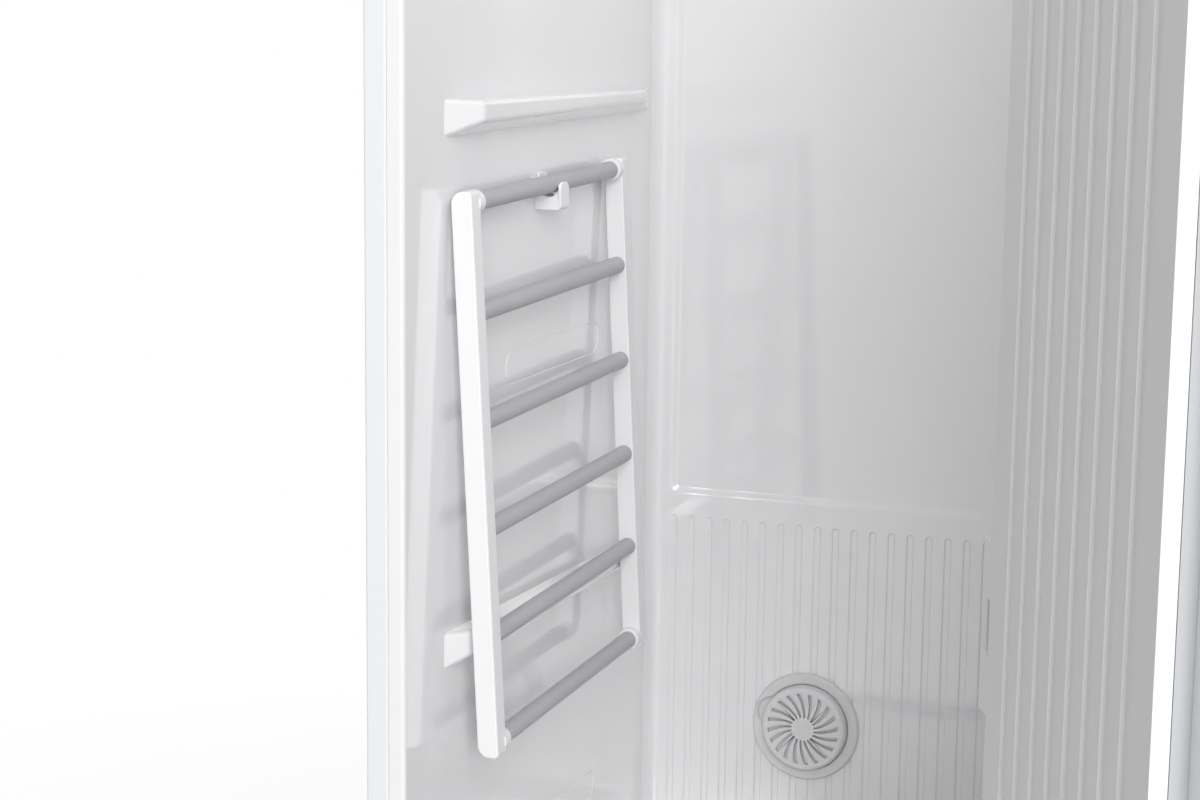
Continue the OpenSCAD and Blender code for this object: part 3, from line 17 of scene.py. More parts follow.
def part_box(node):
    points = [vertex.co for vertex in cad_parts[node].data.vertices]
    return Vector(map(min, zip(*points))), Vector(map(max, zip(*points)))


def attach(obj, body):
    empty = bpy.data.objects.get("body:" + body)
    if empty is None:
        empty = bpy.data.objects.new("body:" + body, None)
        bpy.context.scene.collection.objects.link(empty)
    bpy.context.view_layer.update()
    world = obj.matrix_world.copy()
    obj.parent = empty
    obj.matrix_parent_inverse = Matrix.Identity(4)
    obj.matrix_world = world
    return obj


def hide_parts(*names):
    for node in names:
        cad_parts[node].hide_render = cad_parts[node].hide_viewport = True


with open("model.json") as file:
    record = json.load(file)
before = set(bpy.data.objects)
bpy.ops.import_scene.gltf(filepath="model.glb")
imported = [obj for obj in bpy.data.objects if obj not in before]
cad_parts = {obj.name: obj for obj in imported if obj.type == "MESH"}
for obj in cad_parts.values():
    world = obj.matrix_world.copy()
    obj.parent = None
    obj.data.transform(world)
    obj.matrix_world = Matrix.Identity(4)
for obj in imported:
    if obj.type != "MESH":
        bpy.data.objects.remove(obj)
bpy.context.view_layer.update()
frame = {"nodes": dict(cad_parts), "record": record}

# %% [markdown]
# ## Helpers for hand work
# Operators act on whatever is selected, so every step starts by selecting one piece alone. Faces, edges
# and vertices are then picked in code by where they are, just as a hand would click on them.

# %% Select a piece, and pick its parts
MM = 0.001
TINY = 0.05 * MM


def only(piece):
    """Selects one object alone and makes it active."""
    bpy.ops.object.select_all(action="DESELECT")
    piece.select_set(True)
    bpy.context.view_layer.objects.active = piece


@contextmanager
def shaping(piece):
    """Edit mode on one piece."""
    only(piece)
    bpy.ops.object.mode_set(mode="EDIT")
    yield
    bpy.ops.object.mode_set(mode="OBJECT")


def middle(item):
    """The middle of a vertex, an edge or a face."""
    corners = [item] if isinstance(item, bmesh.types.BMVert) else item.verts
    return sum((v.co for v in corners), Vector()) / len(corners)


def near(a, b):
    """True if two lengths are as good as equal."""
    return abs(a - b) < TINY


def pick(kind, test):
    """Selects the vertices, edges or faces that pass the test, in edit mode."""
    mesh = bpy.context.edit_object.data
    bpy.ops.mesh.select_mode(type=kind)
    bpy.ops.mesh.select_all(action="DESELECT")
    bm = bmesh.from_edit_mesh(mesh)
    items = {"VERT": bm.verts, "EDGE": bm.edges, "FACE": bm.faces}[kind]
    found = [item for item in items if test(item)]
    for item in found:
        item.select_set(True)
    bm.select_flush_mode()
    bmesh.update_edit_mesh(mesh)
    return len(found)


def runs_along(edge, axis):
    """True if an edge lies along axis 0, 1 or 2."""
    a, b = (v.co for v in edge.verts)
    return all(near(a[i], b[i]) for i in range(3) if i != axis)


def upright_at(edge, x, y):
    """True if an edge runs along Z through (x, y)."""
    return runs_along(edge, 2) and near(middle(edge).x, x) and near(middle(edge).y, y)


def lies_at_y(edge, y):
    """True if an edge lies in the plane at this y."""
    return all(near(v.co.y, y) for v in edge.verts)


print(f"places count as equal within {TINY / MM} mm")

# %% Add, finish and copy a piece


def settle(piece):
    """Puts a piece's place, turn and size into its mesh."""
    only(piece)
    bpy.ops.object.transform_apply(location=True, rotation=True, scale=True)
    return piece


def named(name):
    """Names the object that was just added."""
    piece = bpy.context.object
    piece.name = piece.data.name = name
    return piece


def block(name, low, high):
    """A cube primitive stretched between two corners."""
    low, high = Vector(low), Vector(high)
    bpy.ops.mesh.primitive_cube_add(size=1, location=(low + high) / 2)
    piece = named(name)
    piece.scale = high - low
    return settle(piece)


def finish_with(piece, kind, **settings):
    """Adds a modifier with its settings and applies it."""
    only(piece)
    modifier = piece.modifiers.new(kind.title(), kind)
    for name, value in settings.items():
        setattr(modifier, name, value)
    bpy.ops.object.modifier_apply(modifier=modifier.name)
    return piece


def shade(piece, angle=30):
    """Smooth faces, with a crease where they meet more sharply than angle, in degrees."""
    only(piece)
    bpy.ops.object.shade_smooth_by_angle(angle=math.radians(angle))
    return finish_with(piece, "WEIGHTED_NORMAL", keep_sharp=True)


def ease_edges(piece, width, segments=2, angle=40):
    """Rounds every edge that is sharper than angle, in degrees."""
    return finish_with(piece, "BEVEL", width=width, segments=segments, limit_method="ANGLE",
                       angle_limit=math.radians(angle), use_clamp_overlap=False, miter_outer="MITER_ARC")


def turn_faces_out(piece):
    """Merges doubles and points all faces outwards."""
    with shaping(piece):
        bpy.ops.mesh.select_all(action="SELECT")
        bpy.ops.mesh.remove_doubles(threshold=0.001 * MM)
        bpy.ops.mesh.normals_make_consistent(inside=False)
    return piece


def twin(piece, name, place=Matrix.Identity(4)):
    """A copy of a piece with a mesh of its own, moved by a matrix."""
    other = piece.copy()
    other.data = piece.data.copy()
    other.name = other.data.name = name
    bpy.context.scene.collection.objects.link(other)
    other.data.transform(place)
    if place.determinant() < 0:
        turn_faces_out(other)
    return other


def combine(piece, tool, operation):
    """Joins a tool to a piece or cuts it away, and drops the tool."""
    finish_with(piece, "BOOLEAN", operation=operation, object=tool, solver="EXACT")
    bpy.data.objects.remove(tool)
    return piece


def as_one(name, pieces):
    """Joins several objects to one."""
    only(pieces[0])
    for piece in pieces[1:]:
        piece.select_set(True)
    bpy.ops.object.join()
    return named(name)


print("ten helpers for adding, finishing, copying and joining")

# %% [markdown]
# ## Sizes
# The nodes' boxes give the places, in metres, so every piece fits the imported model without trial. What a
# box can't tell, such as the shape of a ledge, is a named size of the real moulding.

# %% Read the chamber's sizes from the frame
liner_low, liner_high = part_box("chamber_liner")
back_wall_t = 6 * MM
liner_t = 2.5 * MM
front_y, back_y = liner_low.y, liner_high.y - back_wall_t
floor_z, ceiling_z = liner_low.z, liner_high.z - liner_t
wall_x = -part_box("rack_hook")[0].x
flange = liner_high.x - wall_x
print(f"chamber {2 * wall_x:.3f} m wide, {back_y - front_y:.3f} m deep, {ceiling_z - floor_z:.3f} m high")

# %% [markdown]
# ## Camera
# The picture was taken from the right in front of the closet, with a longish lens pointing a little down.
# It could be aimed by eye, but the rods of the rack have a known spacing, and the place and the turns
# follow from them.

# %% Place the camera
camera_at = Vector((0.4218, -1.5871, 1.1147))
camera_left, camera_down, camera_roll = (math.radians(a) for a in (20.368, 9.659, -0.642))
sensor_mm = 36
lens_in_widths = 2432.3 / 1200


def camera_turn():
    """The camera's three axes as a rotation matrix."""
    ahead = Vector((-math.sin(camera_left) * math.cos(camera_down),
                    math.cos(camera_left) * math.cos(camera_down), -math.sin(camera_down)))
    right = Vector((math.cos(camera_left), math.sin(camera_left), 0))
    below = ahead.cross(right)
    across = math.cos(camera_roll) * right + math.sin(camera_roll) * below
    down = -math.sin(camera_roll) * right + math.cos(camera_roll) * below
    return Matrix((across, -down, -ahead)).transposed()


camera = bpy.data.objects.new("camera", bpy.data.cameras.new("camera"))
bpy.context.scene.collection.objects.link(camera)
camera.matrix_world = Matrix.Translation(camera_at) @ camera_turn().to_4x4()
camera.data.sensor_width = sensor_mm
camera.data.lens = sensor_mm * lens_in_widths
camera.data.clip_end = 50
bpy.context.scene.camera = camera
print(f"lens {camera.data.lens:.1f} mm on a {sensor_mm} mm sensor")

# %% [markdown]
# ## Light and background
# A white product is lit by soft white light that is stronger from above. Two large lamps at the right
# front give it form: the upper one also shows in the gloss, the lower one only lights. Two small ones in the
# chamber stand for the light that its walls pass on, because lamps outside alone leave it too dark. The
# camera sees plain white behind the object, while less light than that reaches it.

# %% Nodes, and the rays that the camera sees
scene = bpy.context.scene
scene.view_settings.view_transform = "Standard"


def node(tree, kind, inputs=None, **settings):
    """Adds a node, sets it up and fills its inputs with values or with other nodes' outputs."""
    made = tree.nodes.new(kind)
    for name, value in settings.items():
        setattr(made, name, value)
    for name, value in (inputs or {}).items():
        if isinstance(value, bpy.types.NodeSocket):
            tree.links.new(value, made.inputs[name])
        else:
            made.inputs[name].default_value = value
    return made


def seen(tree):
    """1 for what the camera sees straight on, in a reflection or through glass."""
    path = node(tree, "ShaderNodeLightPath").outputs
    straight, mirrored, through = path["Is Camera Ray"], path["Is Glossy Ray"], path["Is Transmission Ray"]
    either = node(tree, "ShaderNodeMath", {0: straight, 1: mirrored}, operation="MAXIMUM").outputs[0]
    return node(tree, "ShaderNodeMath", {0: either, 1: through}, operation="MAXIMUM").outputs[0]


print("view transform:", scene.view_settings.view_transform)

# %% World


def white_world(below, above):
    """White wherever the camera sees it, and for the object a soft light that grows from below to above."""
    world = bpy.data.worlds.new("studio")
    scene.world = world
    world.use_nodes = True
    tree = world.node_tree
    tree.nodes.clear()
    way = node(tree, "ShaderNodeTexCoord").outputs["Generated"]
    height = node(tree, "ShaderNodeSeparateXYZ", {"Vector": way}).outputs["Z"]
    # Heights of a direction, from -1 straight down to 1 straight up, between which the light grows
    dimmest, brightest = -0.3, 0.6
    level = node(tree, "ShaderNodeMapRange", {"Value": height, "From Min": dimmest, "From Max": brightest,
                                              "To Min": below, "To Max": above}).outputs[0]
    dim = node(tree, "ShaderNodeBackground", {"Color": (1, 1, 1, 1), "Strength": level})
    white = node(tree, "ShaderNodeBackground", {"Color": (1, 1, 1, 1), "Strength": 1.0})
    mix = node(tree, "ShaderNodeMixShader", {0: seen(tree), 1: dim.outputs[0], 2: white.outputs[0]})
    node(tree, "ShaderNodeOutputWorld", {"Surface": mix.outputs[0]})


light_below, light_above = 0.22, 0.61
white_world(light_below, light_above)
print("light on the object:", light_below, "from below and", light_above, "from above")

# %% Lamps


def soft_box(name, place, target, width, height, power, mirrored=False):
    """A flat soft lamp that points at a target. Only a mirrored one shows in gloss."""
    light = bpy.data.lights.new(name, "AREA")
    light.shape = "RECTANGLE"
    light.size, light.size_y = width, height
    light.energy = power
    lamp = bpy.data.objects.new(name, light)
    scene.collection.objects.link(lamp)
    lamp.location = place
    lamp.rotation_euler = (Vector(target) - Vector(place)).to_track_quat("-Z", "Y").to_euler()
    lamp.visible_camera = False
    lamp.visible_glossy = mirrored
    return lamp


soft_box("key_lamp", (2.3, -5.3, 3.7), (0, 0, 1.0), 2.4, 2.4, 160, mirrored=True)
soft_box("side_lamp", (3.2, -5.2, 1.8), (0, 0, 1.0), 2.0, 2.0, 130)
soft_box("ceiling_lamp", (0.0, -0.16, 1.55), (0, -0.14, 0), 0.24, 0.24, 0.16)
soft_box("wall_lamp", (0.18, -0.10, 1.27), (-0.2, -0.06, 0.9), 0.2, 0.45, 0.42)
print(len(bpy.data.lights), "lamps")

# %% Floor


def white_paper():
    """Studio paper that is white in the picture but keeps the object's shadow, and fades out further off."""
    material = bpy.data.materials.new("studio_paper")
    material.use_nodes = True
    tree = material.node_tree
    tree.nodes.clear()
    paper_grey = (0.4, 0.4, 0.4, 1)
    shadow_end, white_start = 1.0, 2.2
    place = node(tree, "ShaderNodeTexCoord").outputs["Object"]
    away = node(tree, "ShaderNodeVectorMath", {0: place}, operation="LENGTH").outputs["Value"]
    far = node(tree, "ShaderNodeMapRange", {"Value": away, "From Min": shadow_end, "From Max": white_start})
    paper = node(tree, "ShaderNodeBsdfDiffuse", {"Color": paper_grey})
    shaded = node(tree, "ShaderNodeBsdfDiffuse", {"Color": paper_grey})
    glow = node(tree, "ShaderNodeEmission", {"Strength": 0.66})
    white = node(tree, "ShaderNodeEmission", {"Strength": 1.0})
    close = node(tree, "ShaderNodeAddShader", {0: shaded.outputs[0], 1: glow.outputs[0]})
    shown = node(tree, "ShaderNodeMixShader", {0: far.outputs[0], 1: close.outputs[0], 2: white.outputs[0]})
    mix = node(tree, "ShaderNodeMixShader", {0: seen(tree), 1: paper.outputs[0], 2: shown.outputs[0]})
    node(tree, "ShaderNodeOutputMaterial", {"Surface": mix.outputs[0]})
    return material


bpy.ops.mesh.primitive_plane_add(size=12, location=(0, 0, 0))
studio_floor = named("studio_floor")
studio_floor.data.materials.append(white_paper())
print("a floor", studio_floor.dimensions.x, "m wide")

# %% [markdown]
# ## Materials
# Every surface is one of a few finishes: glossy moulded styrene, satin polypropylene, powder coat, baked
# enamel, zinc, rubber. One flat colour would look like paper, so a fine grain varies the gloss and the
# surface, and a wide cloud varies the tone. Each colour is an sRGB value, and each grain is a real size.

# %% Colour, pattern and bump in one function


def linear(code, alpha=1.0):
    """A hex sRGB colour as a linear one."""
    parts = [int(code[i:i + 2], 16) / 255 for i in (1, 3, 5)]
    return (*[c / 12.92 if c <= 0.04045 else ((c + 0.055) / 1.055) ** 2.4 for c in parts], alpha)


finishes = {}


def finish(name, slot, colour, roughness, grain_mm, depth_mm, stretch=(1, 1, 1), **sockets):
    """A material whose fine grain varies its gloss and its surface, and a wide cloud its tone."""
    tone_change, gloss_change = 0.025, 0.12
    cloud_scale = 9.0
    material = bpy.data.materials.new(name)
    material.use_nodes = True
    material.diffuse_color = linear(colour)
    tree = material.node_tree
    surface = tree.nodes["Principled BSDF"]
    place = node(tree, "ShaderNodeTexCoord").outputs["Object"]
    spread = node(tree, "ShaderNodeMapping", {"Vector": place, "Scale": stretch}).outputs[0]
    grain = node(tree, "ShaderNodeTexNoise", {"Vector": spread, "Scale": 1 / (grain_mm * MM), "Detail": 3.0})
    cloud = node(tree, "ShaderNodeTexNoise", {"Vector": place, "Scale": cloud_scale, "Detail": 2.0})
    tone = [c * (1 - tone_change) for c in linear(colour)[:3]] + [1]
    mix = node(tree, "ShaderNodeMix", data_type="RGBA")
    tree.links.new(cloud.outputs["Fac"], mix.inputs["Factor"])
    mix.inputs["A"].default_value = tone
    mix.inputs["B"].default_value = linear(colour)
    tree.links.new(mix.outputs["Result"], surface.inputs["Base Color"])
    dull = node(tree, "ShaderNodeMapRange", {"Value": grain.outputs["Fac"], "From Min": 0.3, "From Max": 0.7,
                                             "To Min": roughness * (1 - gloss_change),
                                             "To Max": roughness * (1 + gloss_change)})
    tree.links.new(dull.outputs[0], surface.inputs["Roughness"])
    bump = node(tree, "ShaderNodeBump", {"Height": grain.outputs["Fac"], "Distance": depth_mm * MM,
                                         "Strength": 1.0})
    tree.links.new(bump.outputs[0], surface.inputs["Normal"])
    for socket, value in sockets.items():
        surface.inputs[socket.replace("_", " ")].default_value = value
    finishes[name] = (material, slot)
    return material


print("middle grey as a linear colour:", linear("#808080"))

# %% Finishes
# High-gloss styrene sheet: its clear cap layer mirrors the rack sharply, as polished plastic does
finish("gloss_styrene", "white_gloss", "#F1F1F2", 0.12, 14, 0.010, IOR=1.55, Coat_Weight=1.0,
       Coat_Roughness=0.02, Coat_IOR=1.6)
# Satin styrene, a tone greyer than the rack, for the steam outlet: its slots show by shade, not by shine
finish("satin_styrene", "white_satin", "#E4E4E5", 0.38, 1.2, 0.006)
# Satin polypropylene from a fine-eroded mould, which spreads each highlight to a soft white
finish("satin_polypropylene", "white_satin", "#F0F0F1", 0.42, 1.1, 0.006)
# Grey powder coat on aluminium tube, with the coat's fine orange peel
finish("grey_powder_coat", "grey_rod", "#B6B6B9", 0.46, 1.3, 0.010)
# Baked enamel on steel sheet: smooth, with a faint long wave
finish("white_enamel", "white_steel", "#EDEEEF", 0.2, 22, 0.012, IOR=1.5)
# Hot-dip zinc on steel sheet with its spangle
finish("zinc_sheet", "zinc_steel", "#B9BCBE", 0.5, 9, 0.006, Metallic=0.85)
# Brushed steel of the hinges and pins: a soft metal shine, with its fine lines across the height
finish("satin_steel", "bare_steel", "#B8BABC", 0.32, 0.9, 0.004, (1, 1, 12), Metallic=1.0)
# Grey ABS from a textured mould, for the working parts: an even tone with soft highlights
finish("grey_abs", "grey_plastic", "#C4C6C8", 0.4, 1.2, 0.008)
# Foam board, matt and a little yellow, with the pits of its cells
finish("insulating_foam", "foam", "#EDEBE1", 0.9, 2.2, 0.4)
# Extruded grey sealing rubber, which hardly shines
finish("soft_gasket", "gasket_rubber", "#D0D1D2", 0.6, 1.5, 0.01)
# Moulded black rubber of the rear feet, the hinge bushes and the hose: dull all over
finish("black_rubber", "black_rubber", "#1B1B1C", 0.7, 1.4, 0.02)
# Float glass with white paint behind it: an even white under a flat, clear shine
finish("front_glass", "front_glass", "#EEEFEF", 0.05, 60, 0.002, IOR=1.5, Coat_Weight=0.5)
# The same glass with black paint behind it, which shows little but what it mirrors
finish("dark_glass", "dark_glass", "#0B0B0C", 0.04, 60, 0.001, IOR=1.5)
# Green solder mask on the display's board, half glossy
finish("circuit_board", "board", "#0F4023", 0.45, 1.5, 0.03)
# Frosted acrylic over the chamber's lamp, a dull white while the lamp is off
finish("frosted_lens", "lens", "#F2F2EE", 0.35, 0.8, 0.02)
# Woven polyester screen of the lint filter, whose threads are too fine to see: coarse grain, dark and matt
finish("filter_screen", "mesh", "#596066", 0.7, 0.9, 0.2)
# Polished moulded ABS of the two tanks, one tint for fresh water and one for waste
finish("blue_tank", "tank_blue", "#A9BACB", 0.12, 18, 0.006, IOR=1.5)
finish("grey_tank", "tank_grey", "#B4B8BC", 0.12, 18, 0.006, IOR=1.5)
# Black paint on the compressor's steel shell, with a broad low shine
finish("black_enamel", "black_paint", "#141414", 0.35, 2.0, 0.02)
# Aluminium as it leaves the mill: a pale metal shine with fine lines across the height
finish("mill_aluminium", "alu", "#C8CACC", 0.35, 1.2, 0.006, (1, 1, 10), Metallic=1.0)
# Copper drawn through a die: a warm shine with fine lines
finish("drawn_copper", "copper", "#B87350", 0.3, 1.5, 0.004, (12, 1, 1), Metallic=1.0)
print(len(finishes), "finishes")

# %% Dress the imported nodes
# Where two finishes share a slot, the slot's nodes get the later one
slot_of_node = {part["node"]: part["material_slot"] for part in frame["record"]["subparts"]}
finish_of_slot = {slot: material for material, slot in finishes.values()}
for name, solid in frame["nodes"].items():
    for material_slot in solid.material_slots:
        material_slot.material = finish_of_slot[slot_of_node[name]]
print(len(frame["nodes"]), "nodes dressed")


def fit(piece, body, finish_name, *stands_for):
    """Gives a finished piece its material and its body, and hides the nodes that it stands for."""
    material, slot = finishes[finish_name]
    piece.data.materials.clear()
    piece.data.materials.append(material)
    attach(piece, body)
    if stands_for:
        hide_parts(*stands_for)
    return piece


# %% [markdown]
# ## Chamber liner
# The real liner is one sheet of styrene drawn into a mould. Five walls set side by side would show seams
# at the corners. So a cube of the chamber's size loses its front and its floor, gets round rear corners and
# a front flange, and is given its thickness outwards.

# %% Draw the liner's walls
corner_r = 12 * MM
lip_r = 3 * MM

liner = block("chamber_walls", (-wall_x, front_y, floor_z), (wall_x, back_y, ceiling_z))
with shaping(liner):
    pick("FACE", lambda f: near(middle(f).y, front_y) or near(middle(f).z, floor_z))
    bpy.ops.mesh.delete(type="FACE")
    bpy.ops.mesh.select_all(action="SELECT")
    bpy.ops.mesh.flip_normals()
    pick("EDGE", lambda e: runs_along(e, 2) and near(middle(e).y, back_y))
    bpy.ops.mesh.bevel(offset=corner_r, segments=12, affect="EDGES")
    for side in (-1, 1):
        pick("EDGE", lambda e: upright_at(e, side * wall_x, front_y))
        bpy.ops.mesh.extrude_region_move(TRANSFORM_OT_translate={"value": (side * flange, 0, 0)})
        pick("EDGE", lambda e: upright_at(e, side * wall_x, front_y))
        bpy.ops.mesh.bevel(offset=lip_r, segments=6, affect="EDGES")
finish_with(liner, "SOLIDIFY", thickness=liner_t, offset=-1, use_even_offset=True)
with shaping(liner):
    pick("VERT", lambda v: near(v.co.y, back_y + liner_t))
    bpy.ops.transform.translate(value=(0, back_wall_t - liner_t, 0))
print("liner walls:", len(liner.data.polygons), "faces")

# %% [markdown]
# The ledges carry an optional shelf. Each one is a long bar whose ends slope back to the wall, with a
# sloping underside and soft edges all round. A box with round edges would lack those slopes, so the corners
# of its front are pulled into place first. It is shaped once, and all four ledges are copies of it.

# %% Shape the shelf ledges
ledge_proj, ledge_h, ledge_len = 16 * MM, 24.4 * MM, 386 * MM
ledge_front, ledge_taper = 58 * MM, 5 * MM
ledge_nose, ledge_tail = 29 * MM, 54 * MM
ledge_rise, ledge_drop = 9.6 * MM, 2.2 * MM
upper_ledge, lower_ledge, ledge_fall = 580.6 * MM, 240 * MM, math.radians(1.1)
ledge_root, ledge_round = 1 * MM, 2.8 * MM

ledge = block("ledge", (-ledge_root, 0, 0), (ledge_proj, ledge_len, ledge_h))
with shaping(ledge):
    for y, slope in ((0, ledge_nose), (ledge_len, -ledge_tail)):
        pick("VERT", lambda v: near(v.co.x, ledge_proj) and near(v.co.y, y))
        bpy.ops.transform.translate(value=(0, slope, 0))
    for z, slope in ((0, ledge_rise), (ledge_h, -ledge_drop)):
        pick("VERT", lambda v: near(v.co.x, ledge_proj) and near(v.co.z, z))
        bpy.ops.transform.translate(value=(0, 0, slope))
    # The rear end is less high: its base rises by a quarter of the taper and its top falls by the rest
    for low, fall in ((True, ledge_taper / 4), (False, -ledge_taper * 3 / 4)):
        pick("VERT", lambda v: v.co.y > ledge_len / 2 and (v.co.z < ledge_h / 2) == low)
        bpy.ops.transform.translate(value=(0, 0, fall))
    pick("EDGE", lambda e: max(v.co.x for v in e.verts) > ledge_proj - TINY)
    bpy.ops.mesh.bevel(offset=ledge_round, segments=6, affect="EDGES")

for height, fall in ((upper_ledge, 0), (lower_ledge, ledge_fall)):
    for side in (1, -1):
        place = (Matrix.Diagonal((side, 1, 1, 1))
                 @ Matrix.Translation((-wall_x, front_y + ledge_front, floor_z + height))
                 @ Matrix.Rotation(-fall, 4, "X"))
        combine(liner, twin(ledge, "ledge_copy", place), "UNION")
bpy.data.objects.remove(ledge)
print("ledges joined:", len(liner.data.polygons), "faces")

# %% [markdown]
# The mould also leaves two racetrack lines on each wall, a large shallow recess in the back wall and a row
# of round-topped flutes below it. Bump in a material would vanish at a slant, so they are cut. The tools of
# the recess and the flutes narrow as they go in, which leaves their edges soft.

# %% Cut the recess


def soft_tool(name, width, height, corner, steps, segments=8):
    """A rounded slab that faces +Y from y = 0 and narrows in steps of (inset, depth)."""
    lead = 1 * MM
    bpy.ops.mesh.primitive_plane_add(size=1, location=(0, -lead, 0), rotation=(-math.pi / 2, 0, 0))
    tool = named(name)
    tool.scale = (width, height, 1)
    settle(tool)
    with shaping(tool):
        bpy.ops.mesh.select_all(action="SELECT")
        bpy.ops.mesh.bevel(offset=corner, segments=segments, affect="VERTICES")
        bpy.ops.mesh.select_all(action="SELECT")
        bpy.ops.mesh.extrude_region_move(TRANSFORM_OT_translate={"value": (0, lead, 0)})
        for inset, depth in steps:
            bpy.ops.mesh.inset(thickness=inset, depth=depth)
    return turn_faces_out(tool)


recess_side, recess_base, recess_top, recess_corner = 16 * MM, 281 * MM, 26 * MM, 9 * MM
recess_steps = [(1.2 * MM, 0.2 * MM), (1.2 * MM, 0.6 * MM), (2.4 * MM, 1.4 * MM), (1.2 * MM, 0.6 * MM),
                (1.2 * MM, 0.2 * MM)]
recess_low, recess_high = floor_z + recess_base, ceiling_z - recess_top
recess_w, recess_h = 2 * (wall_x - recess_side), recess_high - recess_low
recess = soft_tool("recess", recess_w, recess_h, recess_corner, recess_steps)
recess.data.transform(Matrix.Translation((0, back_y, (recess_low + recess_high) / 2)))
combine(liner, recess, "DIFFERENCE")
print(f"recess: {recess_w:.3f} x {recess_h:.3f} m")

# %% Cut the flutes
flute_count, flute_pitch, flute_w = 25, 14.64 * MM, 5.9 * MM
flute_low, flute_high = floor_z + 14 * MM, floor_z + 265 * MM
flute_steps = [(0.2 * MM, 0.1 * MM), (0.5 * MM, 0.5 * MM), (0.3 * MM, 0.2 * MM)]
flute = soft_tool("flute", flute_w, flute_high - flute_low, flute_w / 2 - 0.1 * MM, flute_steps)
flutes = []
for i in range(flute_count):
    place = Matrix.Translation(((i - flute_count // 2) * flute_pitch, back_y, (flute_low + flute_high) / 2))
    flutes.append(twin(flute, f"flute_{i}", place))
bpy.data.objects.remove(flute)
combine(liner, as_one("flute_tools", flutes), "DIFFERENCE")
print(flute_count, "flutes")

# %% Cut the outlines
track_len, track_h, track_line, track_depth = 177 * MM, 23.6 * MM, 1.6 * MM, 0.6 * MM
track_front, upper_track, lower_track = 160 * MM, 422 * MM, 80 * MM
track_mid = front_y + track_front + track_len / 2


def track_tool():
    """A ring of racetrack shape that faces +Y."""
    bpy.ops.mesh.primitive_plane_add(size=1, location=(0, -track_depth, 0), rotation=(-math.pi / 2, 0, 0))
    tool = named("track")
    tool.scale = (track_len, track_h, 1)
    settle(tool)
    with shaping(tool):
        bpy.ops.mesh.select_all(action="SELECT")
        bpy.ops.mesh.bevel(offset=track_h / 2 - 0.3 * MM, segments=16, affect="VERTICES")
        bpy.ops.mesh.select_all(action="SELECT")
        bpy.ops.mesh.inset(thickness=track_line)
        bpy.ops.mesh.delete(type="ONLY_FACE")
        bpy.ops.mesh.select_all(action="SELECT")
        bpy.ops.mesh.extrude_region_move(TRANSFORM_OT_translate={"value": (0, 2 * track_depth, 0)})
    return turn_faces_out(tool)


track = track_tool()
tracks = []
for side in (1, -1):
    for height in (upper_track, lower_track):
        place = Matrix.Translation((-side * wall_x, track_mid, floor_z + height))
        tracks.append(twin(track, "track_copy", place @ Matrix.Rotation(math.radians(90 * side), 4, "Z")))
bpy.data.objects.remove(track)
combine(liner, as_one("track_tools", tracks), "DIFFERENCE")
shade(liner, 25)
fit(liner, "cabinet", "gloss_styrene", "chamber_liner")
print("liner:", len(liner.data.polygons), "faces")

# %% [markdown]
# ## Rack
# Six powder-coated tubes sit between two moulded bars. The top tube hangs in a J-shaped hook, so the whole
# rack leans from the wall. Work on a leaning piece is awkward, so it is made upright at the origin and then
# moved into its leaning place.

# %% Mould a bar of the rack
rod_r, rod_pitch, rod_count = 6.1 * MM, 70 * MM, 6
rod_span, rod_seat = 259.7 * MM, 8 * MM
bar_t, bar_w, bar_end = 14.3 * MM, 14.6 * MM, 8 * MM
collar_t, collar_len = 1.9 * MM, 7 * MM
rack_wall, rack_front, rack_height = 10.2 * MM, 77 * MM, 540 * MM
rod_tip, rack_lean = math.radians(0.88), math.radians(2.75)
bore_gap = 0.05 * MM
rack_drop = (rod_count - 1) * rod_pitch
rod_axis = Vector((-wall_x + rack_wall, front_y + rack_front, floor_z + rack_height))
in_rack = (Matrix.Translation(rod_axis) @ Matrix.Rotation(rod_tip, 4, "X")
           @ Matrix.Rotation(-rack_lean, 4, "Y"))


def rod(name, radius, start, end, z=0, vertices=64):
    """A cylinder along Y."""
    bpy.ops.mesh.primitive_cylinder_add(vertices=vertices, radius=radius, depth=end - start,
                                        location=(0, (start + end) / 2, z), rotation=(math.pi / 2, 0, 0))
    return settle(named(name))


rack_bar = block("rack_bar", (-bar_t / 2, -bar_w, -rack_drop - bar_end), (bar_t / 2, 0, bar_end))
# The bar's ends are rounder on the side of the wall
with shaping(rack_bar):
    for side, radius, steps in ((-1, 8 * MM, 10), (1, 3 * MM, 5)):
        pick("EDGE", lambda e: runs_along(e, 1) and near(middle(e).x, side * bar_t / 2))
        bpy.ops.mesh.bevel(offset=radius, segments=steps, affect="EDGES")
ease_edges(rack_bar, 1.3 * MM, 4)
for z in (0, -rack_drop):
    collar = rod("collar", rod_r + collar_t, -2 * MM, collar_len, z)
    with shaping(collar):
        pick("EDGE", lambda e: lies_at_y(e, collar_len))
        bpy.ops.mesh.bevel(offset=0.7 * MM, segments=3, affect="EDGES")
    combine(rack_bar, collar, "UNION")
for i in range(rod_count):
    bore = rod("bore", rod_r + bore_gap, -rod_seat, collar_len + 1 * MM, -i * rod_pitch)
    combine(rack_bar, bore, "DIFFERENCE")
shade(rack_bar, 35)
rear_bar = twin(rack_bar, "rack_rear_bar_made",
                in_rack @ Matrix.Translation((0, rod_span, 0)) @ Matrix.Diagonal((1, -1, 1, 1)))
rack_bar.data.transform(in_rack)
fit(rack_bar, "rack", "satin_polypropylene", "rack_front_bar")
fit(rear_bar, "rack", "satin_polypropylene", "rack_rear_bar")
print("two bars,", len(rack_bar.data.polygons), "faces each")

